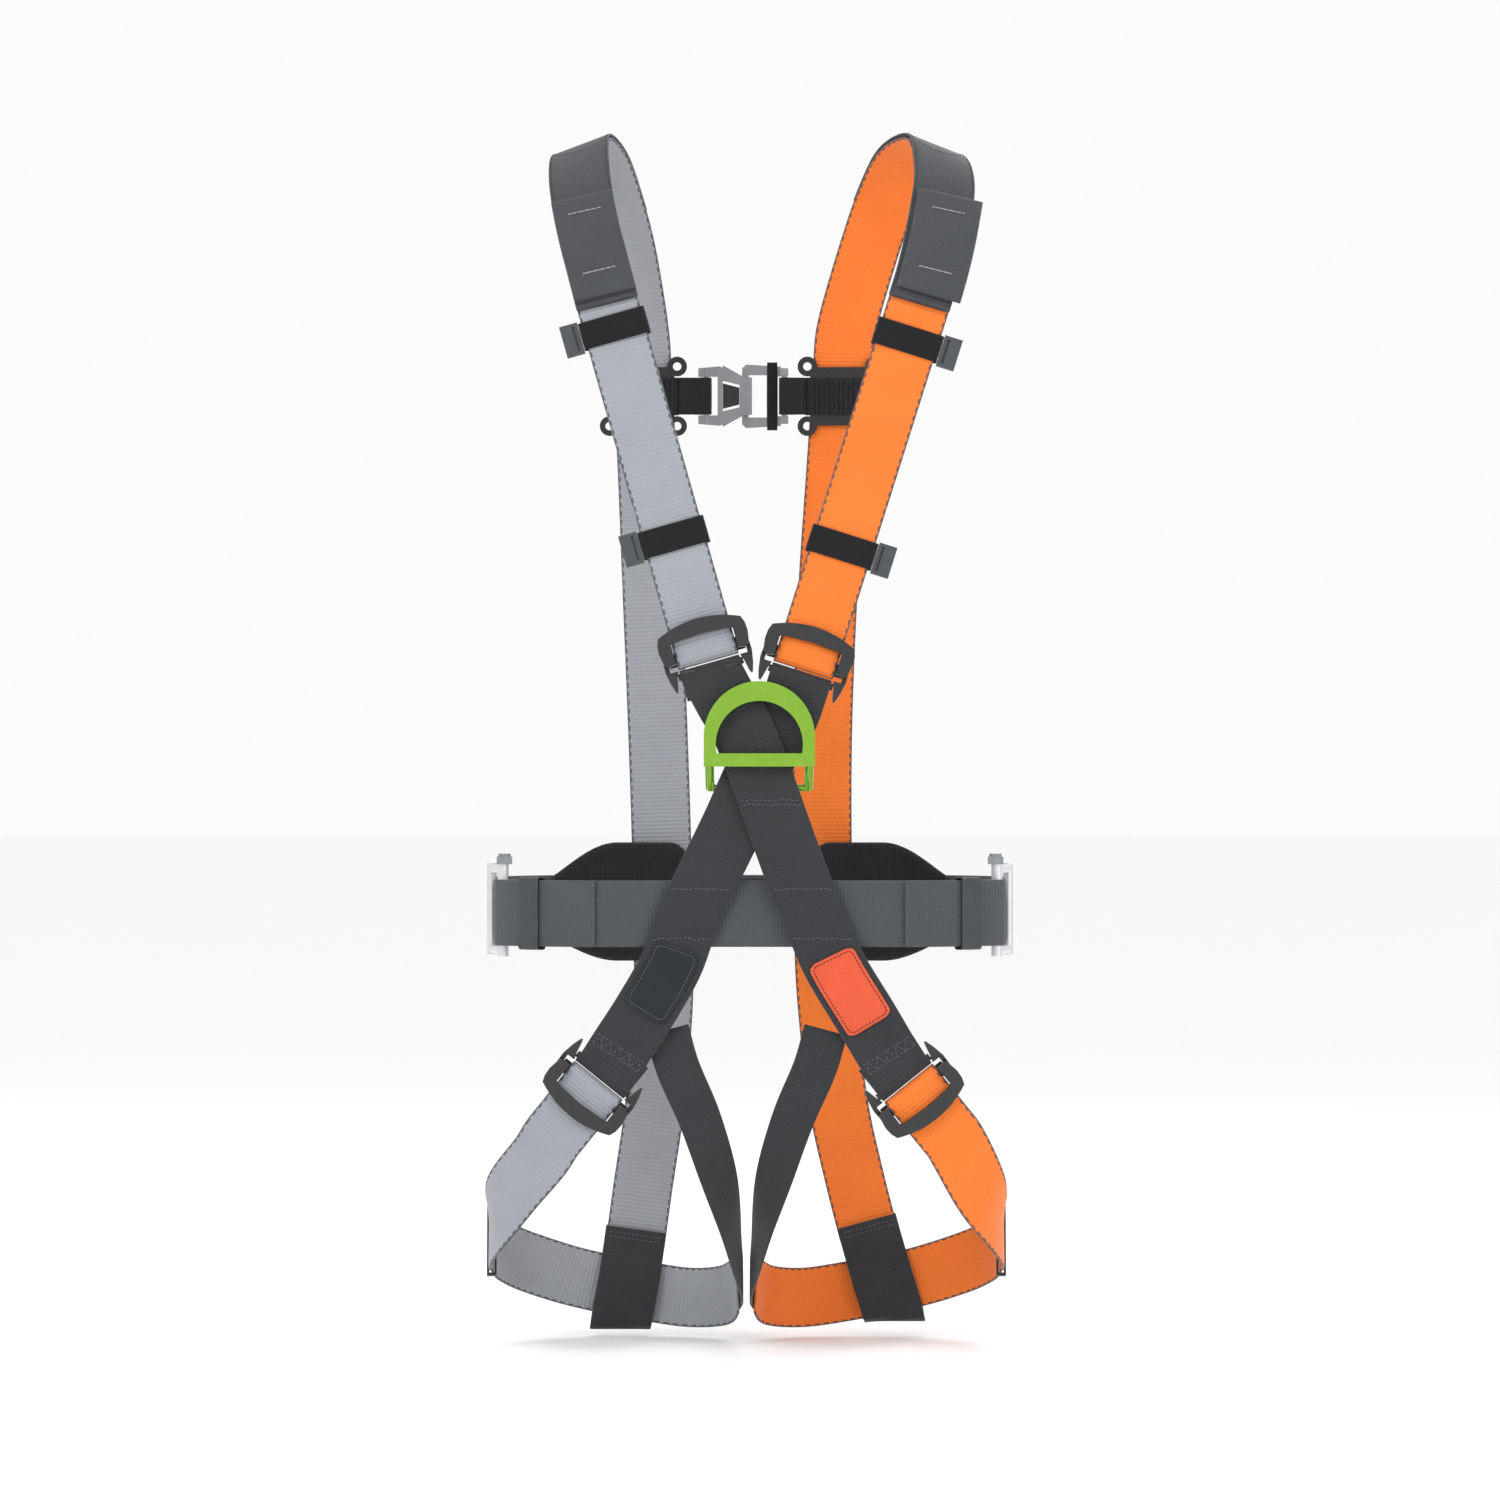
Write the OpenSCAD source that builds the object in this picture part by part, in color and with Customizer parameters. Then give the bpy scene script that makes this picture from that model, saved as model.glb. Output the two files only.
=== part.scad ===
// Full-body safety harness in its worn shape.
// Origin: centre of the waist ring. +X wearer's left, -Y front, +Z up.

/* [Webbing] */
// Width of the shoulder, cross and leg webbing
web_w = 45; // [43:0.5:45]
// Thickness of the webbing
web_t = 2; // [1.6:0.1:2]
// Width of the waist belt webbing
belt_w = 48; // [44:1:50]
// Width of the two dark crotch straps
crotch_w = 32; // [28:1:40]
// Gap between webbing layers that lie on each other
lay_gap = 0.5; // [0.3:0.1:0.6]

/* [Strap buckles] */
// Radius of the round bar that the strap turns on
bar_r = 5; // [4.5:0.1:5]
// Width of a buckle frame
frame_w = 64; // [62:1:66]
// Thickness of a buckle frame
frame_t = 4; // [3:0.5:4]

/* [Sternal ring] */
// Half the outer width of the ring
ring_half = 40; // [40:0.5:42]
// Radius of the forged section
ring_r = 4; // [3.5:0.1:4]

/* [Lumbar pad] */
// Thickness of the pad
pad_t = 9; // [6:1:10]
// Height of the two lobes above the belt's middle
pad_up = 49; // [40:1:52]
// Depth of the two lobes below the belt's middle
pad_down = 41; // [34:1:44]

/* [Keepers] */
// Length of a shoulder keeper along the strap
keep_l = 20; // [16:1:22]

/* [Hidden] */
$fn = 32;

// ---- vectors and paths. A path row is [x, y, z, nx, ny, nz]: a point and the face it turns outward ----
function unit(v) = v / norm(v);
function P(q) = [q[0], q[1], q[2]];
function N(q) = [q[3], q[4], q[5]];
function row(p, n) = [p[0], p[1], p[2], n[0], n[1], n[2]];
function cr1(a, b, c, d, s) = 0.5*(2*b + (c - a)*s + (2*a - 5*b + 4*c - d)*s*s + (3*b - a - 3*c + d)*s*s*s);
function smooth(p, m=6) = [for (i = [0:len(p)-2]) for (k = [0:m-1])
    cr1(p[max(i-1, 0)], p[i], p[i+1], p[min(i+2, len(p)-1)], k/m), p[len(p)-1]];
function slice(q, a, b) = [for (i = [a:b]) q[i]];
function flipx(q, c) = [for (i = [len(q)-1:-1:0]) [2*c - q[i][0], q[i][1], q[i][2], -q[i][3], q[i][4], q[i][5]]];
function shifted(q, d) = [for (r = q) row(P(r) + unit(N(r))*d, N(r))];
function tang(q, i) = unit(P(q[min(i+1, len(q)-1)]) - P(q[max(i-1, 0)]));
function corners(q, i, w, t) = let (T = tang(q, i), W = unit(cross(N(q[i]), T)), U = cross(T, W), c = P(q[i]))
    [c + U*t/2 + W*w/2, c + U*t/2 - W*w/2, c - U*t/2 - W*w/2, c - U*t/2 + W*w/2];
// flat webbing along a path
module band(q, w, t=web_t) {
    n = len(q);
    pts = [for (i = [0:n-1]) each corners(q, i, w, t)];
    side = [for (i = [0:n-2]) for (k = [0:3]) let (a = 4*i + k, b = 4*i + (k+1)%4)
        each [[a, b, b+4], [a, b+4, a+4]]];
    polyhedron(pts, concat(side, [[3, 2, 1], [3, 1, 0]], [[4*n-4, 4*n-3, 4*n-2], [4*n-4, 4*n-2, 4*n-1]]), convexity=8);
}
// local frame on a strap: x across, y along d, z outward
function outn(d, n) = unit(n - d*(d*n));
function at(o, d, n, v) = let (z = outn(d, n), x = cross(d, z)) o + x*v[0] + d*v[1] + z*v[2];
module seat(o, d, n) {
    z = outn(d, n); x = cross(d, z);
    multmatrix([[x[0], d[0], z[0], o[0]], [x[1], d[1], z[1], o[1]], [x[2], d[2], z[2], o[2]], [0, 0, 0, 1]]) children();
}
FRONT = [0, -1, 0];

// ---- layout ----
wrap_r = bar_r + 0.4 + web_t/2;      // middle of the webbing round the lever bar
fix_r = 2.5;                         // fixed bar of a buckle frame
fix_y = -12.8;                         // fixed bar below the lever bar
fixw_r = fix_r + 0.3 + web_t/2;
// straight front runs of the two main straps
SL1 = [-102, -100, 437]; SL2 = [-43, -122, 229];
SR1 = [121, -100, 437];  SR2 = [55, -122, 229];
dSL = unit(SL1 - SL2); dSR = unit(SR1 - SR2);
OSL = SL2 - dSL*41 - outn(dSL, FRONT)*wrap_r;
OSR = SR2 - dSR*48 - outn(dSR, FRONT)*wrap_r;
// leg buckles
dLL = unit([-0.62, 0.14, -0.77]); dLR = unit([0.62, 0.14, -0.77]);
OLL = [-114, -112, -126]; OLR = [119, -112, -128];

// strap end: free tail behind, half turn round the bar, then outward along d for run
function turn(o, d, n, r, tail, run, gap) = let (z = outn(d, n), lay = web_t + gap)
    concat([for (y = [tail:-8:40]) row(at(o, d, n, [0, y, r - lay]), -z)],
           [for (k = [0:1:10]) let (s = k/10, e = s*s*(3 - 2*s)) row(at(o, d, n, [0, 34*(1 - s), r - lay - (2*r - lay)*e]), -z)],
           [for (a = [195:15:345]) row(at(o, d, n, [0, -r*sin(a - 180), r*-cos(a - 180)]), z*-cos(a-180) - d*sin(a - 180))],
           [for (k = [0:1:4]) row(at(o, d, n, [0, run*k/4, r]), z)]);

// shoulder: from the top of the front run, over the shoulder, down the back to the leg loop
SHL = [[-92.5, -103.5, 470-66, 0, -1, 0.1], [-102, -100, 437, 0, -0.98, 0.12], [-110, -90, 467, -0.05, -0.92, 0.35],
 [-118, -73, 499, -0.12, -0.82, 0.5], [-124.5, -42, 537, -0.22, -0.55, 0.75], [-124, 0, 563, -0.33, 0, 0.94],
 [-112, 38, 553, -0.25, 0.5, 0.8], [-102, 63, 526, -0.15, 0.78, 0.5], [-93, 84, 492, -0.05, 0.92, 0.3],
 [-84, 103, 437, 0, 1, 0.06], [-81.5, 106.2, 402, 0, 1, 0], [-79.5, 106.2, 366, 0, 1, 0], [-77.5, 106.2, 330, 0, 1, 0], [-74, 109.5, 240, 0, 1, 0.03],
 [-70, 113, 140, 0, 1, 0], [-67, 112.7, 50, 0, 1, 0], [-65.5, 112.7, -30, 0, 1, 0], [-66, 113.5, -80, 0, 1, 0], [-72, 115, -150, 0, 1, 0],
 [-81, 114, -212, 0, 1, 0], [-87, 112.5, -256, 0, 1, 0]];
SHR = [[110.5, -103.5, 404, 0, -1, 0.1], [121, -100, 437, 0, -0.98, 0.12], [130, -90, 467, 0.05, -0.92, 0.35],
 [137, -73, 499, 0.12, -0.82, 0.5], [142, -42, 537, 0.25, -0.55, 0.75], [136, 0, 563, 0.33, 0, 0.94],
 [117, 34, 557, 0.2, 0.45, 0.85], [103, 60, 532, 0.15, 0.75, 0.55], [90, 82, 496, 0.05, 0.92, 0.3],
 [73, 103, 437, 0, 1, 0.06], [70, 106.2, 402, 0, 1, 0], [67.5, 106.2, 366, 0, 1, 0], [65, 106.2, 330, 0, 1, 0], [59, 109.5, 240, 0, 1, 0.03],
 [55, 113, 140, 0, 1, 0], [54.5, 112.7, 50, 0, 1, 0], [56, 112.7, -30, 0, 1, 0], [59, 113.5, -80, 0, 1, 0], [67, 115, -150, 0, 1, 0],
 [79, 114, -205, 0, 1, 0], [90, 112.5, -248, 0, 1, 0]];
shl = smooth(SHL); shr = smooth(SHR);
tailL = 250; tailR = 250;
runL = norm(SL1 - SL2) + 41 - 70; runR = norm(SR1 - SR2) + 48 - 70;
function main(o, d, n, tail, run, sh) = concat(turn(o, d, n, wrap_r, tail, run, lay_gap + 0.3), slice(sh, 6, len(sh)-1));
mainL = main(OSL, dSL, FRONT, tailL, runL, shl);
mainR = main(OSR, dSR, FRONT, tailR, runR, shr);

// cross straps: sewn end round the fixed bar of a buckle frame; y grows away from the cross strap
function sewn(o, d, n, tail, back = fixw_r - web_t - 2) = let (z = outn(d, n), f = at(o, d, n, [0, fix_y, 0]))
    concat([for (k = [0:1:4]) row(at(f, d, n, [0, -tail*(1 - k/4), back - (back + fixw_r)*k/4]), -z)],
           [for (a = [15:15:165]) row(at(f, d, n, [0, fixw_r*sin(a), -fixw_r*cos(a)]), d*sin(a) - z*cos(a))],
           [row(at(f, d, n, [0, 0, fixw_r]), z), row(at(f, d, n, [0, -5, fixw_r]), z)]);
function rev(q) = [for (i = [len(q)-1:-1:0]) q[i]];
CA = [[-15.5, -126.6, 151, 0, -1, 0], [-7, -127, 137, 0, -1, 0], [6, -127, 105, 0, -1, 0], [21, -126.5, 63, 0, -1, 0],
 [36, -125, 22, 0, -1, 0], [48, -124, -7, 0, -1, 0], [61, -123, -37, 0, -1, 0], [84, -120.5, -75, 0, -1, 0], [97, -118.5, -97, 0.1, -1, 0]];
CB = [[29.5, -123.6, 149, 0, -1, 0], [24, -122.8, 137, 0, -1, 0], [6, -122.5, 105, 0, -1, 0], [-13, -122, 63, 0, -1, 0],
 [-33, -121, 22, 0, -1, 0], [-46, -120.5, -7, 0, -1, 0], [-57, -120, -37, 0, -1, 0], [-77, -119.5, -72, 0, -1, 0], [-92, -118, -95, -0.1, -1, 0]];
crossA = concat(sewn(OSL, dSL, FRONT, 18), smooth(CA, 5), rev(sewn(OLR, dLR, FRONT, 24)));
crossB = concat(sewn(OSR, dSR, FRONT, 7, -2.6), smooth(CB, 5), rev(sewn(OLL, dLL, FRONT, 24)));

// leg loops
lr_c = -2.6;                         // mirror plane of the two leg loops
function legrun(o, d) = [row(at(o, d, FRONT, [0, 44, wrap_r]), outn(d, FRONT))];
LEG = [[-152, -108, -176, -0.15, -1, 0], [-173, -98, -202, -0.4, -0.92, 0],
 [-186.5, -72, -226, -0.85, -0.52, 0], [-191, -36, -240, -1, 0, 0], [-191, 2, -245, -1, 0, 0], [-191, 38, -250, -1, 0, 0], [-185, 64, -257, -0.85, 0.5, 0],
 [-167, 87, -267, -0.5, 0.85, 0], [-140, 101, -277, -0.2, 1, 0], [-114, 108, -284, 0, 1, 0], [-78, 110, -291, 0, 1, 0],
 [-46, 104, -295, 0.3, 0.95, 0], [-20, 86, -292, 0.8, 0.6, 0], [-9.5, 60, -282, 1, 0.1, 0]];
LEGR = [for (r = LEG) [2*lr_c - r[0], r[1], r[2], -r[3], r[4], r[5]]];
function leg(o, d, pts) = concat(turn(o, d, FRONT, wrap_r, 44, 36, lay_gap),
    slice(smooth(concat([row(at(o, d, FRONT, [0, 10, wrap_r]), outn(d, FRONT))], legrun(o, d), pts)), 6, 6*(len(pts)+1)));
legL = leg(OLL, dLL, LEG); legR = leg(OLR, dLR, slice(LEGR, 1, len(LEGR)-1));
CROTCH = [[-60, -112.5, -84, 0.05, -1, 0], [-52, -111.5, -112, 0.15, -1, 0], [-37, -108, -147, 0.3, -0.95, 0], [-24.5, -98, -185, 0.5, -0.87, 0],
 [-15, -76, -221, 0.8, -0.6, 0], [-9.5, -38, -252, 0.96, -0.3, 0], [-6, 8, -273, 1, 0, 0]];
crotchL = concat(slice(smooth(concat(slice(CROTCH, 0, 6), [shifted(legL, 3)[len(legL)-1]])), 0, 41),
    [for (i = [len(legL)-1:-1:len(legL)-9]) shifted(legL, 3)[i]]);
crotchR = [for (r = crotchL) [2*lr_c - r[0], r[1], r[2], -r[3], r[4], r[5]]];
LOOPL = [[-86, 108.8, -244, 0, -1, 0], [-88.5, 104.5, -262, 0, -1, 0], [-92, 102, -285, 0, -1, 0], [-96.5, 102.5, -309, 0, -1, 0],
 [-97.7, 104.5, -316, 0, -0.7, -0.7], [-98.2, 108, -318.5, 0, 0, -1], [-97.7, 111.8, -316, 0, 0.7, -0.7], [-96.5, 113.8, -309, 0, 1, 0], [-92, 115, -285, 0, 1, 0], [-88.5, 115.8, -262, 0, 1, 0], [-86, 116.4, -244, 0, 1, 0]];
LOOPR = [[88, 108.8, -238, 0, -1, 0], [93, 103.2, -256, 0, -1, 0], [100, 99.9, -280, 0, -1, 0], [107, 100.4, -303, 0, -1, 0],
 [108.8, 103.2, -310, 0, -0.7, -0.7], [109.6, 107.5, -312.5, 0, 0, -1], [108.8, 111.6, -310, 0, 0.7, -0.7], [107, 113.8, -303, 0, 1, 0], [100, 115, -280, 0, 1, 0], [93, 115.8, -256, 0, 1, 0], [88, 116.4, -238, 0, 1, 0]];

// waist ring: a rounded rectangle 380 wide. Each front belt end turns round the side ring's post
// and comes back outside itself; the rear belt ends inside it.
ring_x = 190; ring_f = -116.5; ring_b = 108; corner = 80; arc_x = ring_x - corner; cf = ring_f + corner; cb = ring_b - corner;
post_a = 29; post_r = 4; post_w = post_r + 0.4 + web_t/2;
PX = arc_x + corner*cos(post_a); PY = cf - corner*sin(post_a);
half_lay = (web_t + lay_gap + 0.3)/2;
function lay(a) = let (s = (a - post_a)*PI/180*corner) half_lay + (post_w - half_lay)*exp(-(s/14)*(s/14));
function rim(a, d) = [arc_x + (corner + d)*cos(a), cf - (corner + d)*sin(a), 0, cos(a), -sin(a), 0];
pu = [cos(post_a), -sin(post_a)]; pv = [sin(post_a), cos(post_a)];
// right half, from the free end round the post to the middle of the front
beltHalf = concat([[arc_x + 5 - 3, ring_f - half_lay, 0, 0, -1, 0]], [for (a = [85:-7:36]) rim(a, lay(a))],
    [for (t = [-90:22.5:90]) let (c = cos(t), q = sin(t)) [PX + post_w*(-pu[0]*q + pv[0]*c), PY + post_w*(-pu[1]*q + pv[1]*c), 0, -pu[0]*q + pv[0]*c, -pu[1]*q + pv[1]*c, 0]],
    [for (a = [36:7:85]) let (r = rim(a, -lay(a))) [r[0], r[1], 0, -r[3], -r[4], 0]],
    [for (x = [arc_x:-22:22]) [x, ring_f + half_lay, 0, 0, 1, 0]], [[0, ring_f + half_lay, 0, 0, 1, 0]]);
frontPath = concat(beltHalf, [for (i = [len(beltHalf)-2:-1:0]) let (r = beltHalf[i]) [-r[0], r[1], 0, -r[3], r[4], 0]]);
function step(x) = let (k = min(1, max(0, x))) k*k*(3 - 2*k);
function inset(y) = 8.6*(1 - step((y - 4)/34));
rearHalf = concat([for (a = [38:-6.35:0]) rim(a, -8.6)], [for (y = [-28:8:20]) [ring_x - inset(y), y, 0, 1, 0, 0]],
    [for (a = [0:7.5:90]) [arc_x + corner*cos(a) - (a < 15 ? inset(cb + corner*sin(a)) : 0), cb + corner*sin(a), 0, cos(a), sin(a), 0]],
    [for (x = [90:-20:10]) [x, ring_b, 0, 0, 1, 0]]);
rearPath = concat(rearHalf, [for (i = [len(rearHalf)-1:-1:0]) let (r = rearHalf[i]) [-r[0], r[1], 0, -r[3], r[4], 0]]);
padBase = concat([for (a = [60:6:90]) [arc_x + corner*cos(a), cb + corner*sin(a), 0, cos(a), sin(a), 0]], [for (x = [100:-8:-100]) [x, ring_b, 0, 0, 1, 0]],
    [for (a = [90:6:120]) [-arc_x + corner*cos(a), cb + corner*sin(a), 0, cos(a), sin(a), 0]]);

module strap(c) { color(c) children(); }
GREY = "#9a9da2"; ORANGE = "#f47a2f"; DARK = "#45494e"; COAL = "#2b2e33"; BLACK = "#15171b";

module main_strap_left() { color(GREY) band(mainL, web_w); }
module main_strap_right() { color(ORANGE) band(mainR, web_w); }
module shoulder_sleeve_left() { color(DARK) band(shifted(slice(shl, 7, 44), web_t + lay_gap + 0.5), web_w + 1, 1.6); }
module shoulder_sleeve_right() { color(DARK) band(shifted(slice(shr, 7, 44), web_t + lay_gap + 0.5), web_w + 1, 1.6); }
module lanyard_pocket_left() { color(DARK) band(shifted(slice(shl, 8, 21), 2*(web_t + lay_gap) + 2.0), web_w + 1, web_t + 2.4); }
module lanyard_pocket_right() { color(DARK) band(shifted([for (r = slice(shr, 8, 21)) row(P(r) + [5, 0, 0], N(r))], 2*(web_t + lay_gap) + 2.8), web_w + 3, web_t + 2.4); }
module cross_strap_a() { color(COAL) band(crossA, web_w); }
module cross_strap_b() { color(COAL) band(crossB, web_w); }
module leg_strap_left() { color(GREY) band(legL, web_w); }
module leg_strap_right() { color(ORANGE) band(legR, web_w); }
module crotch_strap_left() { color(COAL) band(crotchL, crotch_w); }
module crotch_strap_right() { color(COAL) band(crotchR, crotch_w); }
module end_loop_left() { color(COAL) band(smooth(LOOPL, 4), web_w + 1); }
module end_loop_right() { color(COAL) band(smooth(LOOPR, 4), web_w + 1); }
module belt_front() { color(DARK) band(frontPath, belt_w, web_t); }
module belt_rear() { color(DARK) band(rearPath, belt_w, web_t); }

// pad: two lobes joined behind the belt. Height follows the distance from the middle.
pad_in = -(web_t/2 + lay_gap + pad_t/2);
padPath = shifted(padBase, pad_in);
function lobe(x) = let (a = abs(x)) a < 25 ? 22 : a < 60 ? 22 + (pad_up - 22)*pow(sin((a - 25)/35*90), 2) : a < 100 ? pad_up : 24 + (pad_up - 24)*pow(cos(min(90, (a - 100)/48*90)), 1.1);
function under(x) = let (a = abs(x)) a < 25 ? 22 : a < 70 ? 22 + (pad_down - 22)*pow(sin((a - 25)/45*90), 2) : a < 100 ? pad_down : 24 + (pad_down - 24)*pow(cos(min(90, (a - 100)/48*90)), 1.1);
module lumbar_pad() {
    q = padPath; n = len(q);
    prof = [[1, 0.5], [1, -0.5], [-1, -0.5], [-1, 0.5]];
    pts = [for (i = [0:n-1]) each [for (c = prof) let (p = P(q[i]), u = unit(N(q[i])), x = p[0], h = c[0] > 0 ? lobe(x) : -under(x)) p + u*c[1]*pad_t + [0, 0, h]]];
    side = [for (i = [0:n-2]) for (k = [0:3]) let (a = 4*i + k, b = 4*i + (k+1)%4) each [[a, b, b+4], [a, b+4, a+4]]];
    color(BLACK) polyhedron(pts, concat(side, [[3, 2, 1], [3, 1, 0]], [[4*n-4, 4*n-3, 4*n-2], [4*n-4, 4*n-2, 4*n-1]]), convexity=8);
}

// sternal ring: arch, cross bar, two legs and a hidden lower bar in the webbing
RX = 6.7; axis_y = -115.5; axis_z = 91; bar_y = -133; low_r = 2.6;
rc = ring_half - ring_r;             // middle of the section
module rod(a, b, r) { d = b - a; translate(a) multmatrix(let (z = unit(d), x = unit(cross(abs(z[2]) > 0.9 ? [1, 0, 0] : [0, 0, 1], z)), y = cross(z, x))
    [[x[0], y[0], z[0], 0], [x[1], y[1], z[1], 0], [x[2], y[2], z[2], 0], [0, 0, 0, 1]]) cylinder(h = norm(d), r = r); }
module sternal_ring() color("#9bcb3c") translate([RX, 0, 0]) {
    translate([0, bar_y + 4, 0]) rotate([90, 0, 0]) linear_extrude(7.6) difference() {
        union() { translate([0, 128]) circle(r = ring_half, $fn = 72); translate([-ring_half, 106.5]) square([2*ring_half, 21.5]); }
        intersection() { translate([0, 122.4]) circle(r = ring_half - 8.6, $fn = 72); translate([-50, 116]) square([100, 60]); }
        translate([-50, 60]) square([100, 46.5]);
    }
    for (s = [-1, 1]) rod([s*rc, bar_y + 0.2, 109.5], [s*(rc - 0.5), axis_y, axis_z], low_r + 0.7);
    rod([-rc - 1, axis_y, axis_z], [rc + 1, axis_y, axis_z], low_r);
}

// side ring: a post in the belt's fold, two arms above and below the belt and an outer bar
BX = 190; BY = -28; arm_t1 = 31.2; arm_b1 = -27.9; arm_r = 3.1;
module side_ring(s) color("#c4c7cb") {
    translate([s*PX, PY, arm_b1 - 4]) cylinder(h = arm_t1 - arm_b1 + 8, r = post_r);
    rod([s*PX, PY, arm_t1], [s*BX, BY, arm_t1], arm_r);
    rod([s*PX, PY, arm_b1], [s*BX, BY, arm_b1], arm_r);
    translate([s*BX, BY, arm_b1 - 4]) cylinder(h = arm_t1 - arm_b1 + 8, r = arm_r + 0.5);
}
module side_ring_left() side_ring(-1);
module side_ring_right() side_ring(1);
// head of the post, above the top arm
module ring_head(s) color("#75797e") translate([s*(PX - 1), PY, 0]) {
    translate([-5.5, -5.5, arm_t1 + 4.05]) cube([11, 11, 5.5]);
    translate([0, 0, arm_t1 + 9.5]) cylinder(h = 2.2, r = 4.5);
}
module ring_head_left() ring_head(-1);
module ring_head_right() ring_head(1);

// belt keeper: a loop round both layers of the belt end
keep_a = 53;
module belt_keeper(s) color("#55595e") translate([s*arc_x, cf, 0]) rotate([0, 0, s > 0 ? -keep_a : 180 + keep_a]) translate([corner, 0, 0])
    difference() {
        translate([-5, -9, -belt_w/2 - 3.6]) cube([10, 18, belt_w + 7.2]);
        translate([-3.9, -10, -belt_w/2 - 1.4]) cube([7.8, 20, belt_w + 2.8]);
    }
module belt_keeper_left() belt_keeper(-1);
module belt_keeper_right() belt_keeper(1);

// strap buckle frame in its own axes: x across, y up the strap, z outward, origin on the lever bar
arm_x = web_w/2 + 0.8; arm_t = 5.1; arm_o = arm_x + arm_t;   // lever arms, inner face and thickness
module frame_body() {
    for (s = [-1, 1]) difference() {
        translate([0, 0, -3.2]) linear_extrude(6.4) polygon([for (p = [[arm_o + 0.5, 8.6], [frame_w/2 - 0.6, 7.4], [frame_w/2, 5], [frame_w/2 + 0.4, -7], [frame_w/2 - 1.2, -16],
            [28.8, -22.6], [27.2, -23], [arm_x + 3, -20], [arm_x + 1.4, -12], [arm_x, -8.4], [arm_o + 0.5, -8.4]]) [p[0]*s, p[1]]]);
        translate([s*30, 0, 0]) rotate([0, 90, 0]) cylinder(h = 24, r = 2.05, center = true);
    }
    translate([-arm_x - 1, fix_y, 0]) rotate([0, 90, 0]) cylinder(h = 2*arm_x + 2, r = fix_r);
}
module lever_body() {
    rotate([0, 90, 0]) cylinder(h = 2*arm_x + 0.2, r = bar_r, center = true);
    rotate([0, 90, 0]) cylinder(h = frame_w - 0.6, r = 2, center = true);
    for (s = [-1, 1]) translate([s > 0 ? arm_x : -arm_x - arm_t, 0, 0]) {
        rotate([0, 90, 0]) cylinder(h = arm_t, r = bar_r);
        translate([0, -3.9, -3]) cube([arm_t, 15, 11.6]);
    }
    // arched thumb lip in front of the strap, its ends reaching down over the arms
    translate([0, 0, 8.5]) linear_extrude(4) polygon(concat(
        [[-arm_x, 10.6], [-arm_x + 1.6, 11.6], [0, 12.8], [arm_x - 1.6, 11.6], [arm_x, 10.6], [arm_x, -4], [arm_o, -5], [31.6, -3.4], [33.2, 6], [32.8, 12]],
        [for (i = [0:12]) let (s = 1 - i/6) [31*s, 17 + 7*(1 - s*s)]],
        [[-32.8, 12], [-33.2, 6], [-31.6, -3.4], [-arm_o, -5], [-arm_x, -4]]));
}
module buckle_frame_shoulder_left() { color(BLACK) seat(OSL, dSL, FRONT) frame_body(); }
module buckle_frame_shoulder_right() { color(BLACK) seat(OSR, dSR, FRONT) frame_body(); }
module buckle_frame_leg_left() { color(BLACK) seat(OLL, dLL, FRONT) frame_body(); }
module buckle_frame_leg_right() { color(BLACK) seat(OLR, dLR, FRONT) frame_body(); }
module buckle_lever_shoulder_left() { color(BLACK) seat(OSL, dSL, FRONT) lever_body(); }
module buckle_lever_shoulder_right() { color(BLACK) seat(OSR, dSR, FRONT) lever_body(); }
module buckle_lever_leg_left() { color(BLACK) seat(OLL, dLL, FRONT) lever_body(); }
module buckle_lever_leg_right() { color(BLACK) seat(OLR, dLR, FRONT) lever_body(); }

// shoulder keepers: an elastic loop round the strap and its tail, with a plastic clip at the outer side
kz0 = wrap_r - web_t - lay_gap - 0.3 - web_t/2 - 0.7; kz1 = wrap_r + web_t/2 + 0.7;
module keeper_band(s) difference() {
    translate([-web_w/2 - 2.6, 0, kz0 - 1.3]) cube([web_w + 5.2, keep_l, kz1 - kz0 + 2.6]);
    translate([-web_w/2 - 1.2, -1, kz0]) cube([web_w + 2.4, keep_l + 2, kz1 - kz0]);
}
module keeper_clip(s) {
    x0 = web_w/2 + 2.6;
    translate([s > 0 ? x0 : -x0 - 13.4, -1.5, kz0 - 0.6]) difference() {
        cube([13.4, keep_l + 3, 5.8]);
        translate([s > 0 ? 2.8 : 8.8, 2.5, 4.2]) cube([1.8, keep_l - 2, 3]);
    }
}
module keeper_band_left_upper() { color(BLACK) seat(OSL, dSL, FRONT) translate([0, 235, 0]) keeper_band(-1); }
module keeper_band_left_lower() { color(BLACK) seat(OSL, dSL, FRONT) translate([0, 76, 0]) keeper_band(-1); }
module keeper_band_right_upper() { color(BLACK) seat(OSR, dSR, FRONT) translate([0, 235, 0]) keeper_band(1); }
module keeper_band_right_lower() { color(BLACK) seat(OSR, dSR, FRONT) translate([0, 76, 0]) keeper_band(1); }
module keeper_clip_left_upper() { color(DARK) seat(OSL, dSL, FRONT) translate([0, 235, 0]) keeper_clip(-1); }
module keeper_clip_left_lower() { color(DARK) seat(OSL, dSL, FRONT) translate([0, 76, 0]) keeper_clip(-1); }
module keeper_clip_right_upper() { color(DARK) seat(OSR, dSR, FRONT) translate([0, 235, 0]) keeper_clip(1); }
module keeper_clip_right_lower() { color(DARK) seat(OSR, dSR, FRONT) translate([0, 76, 0]) keeper_clip(1); }

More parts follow.
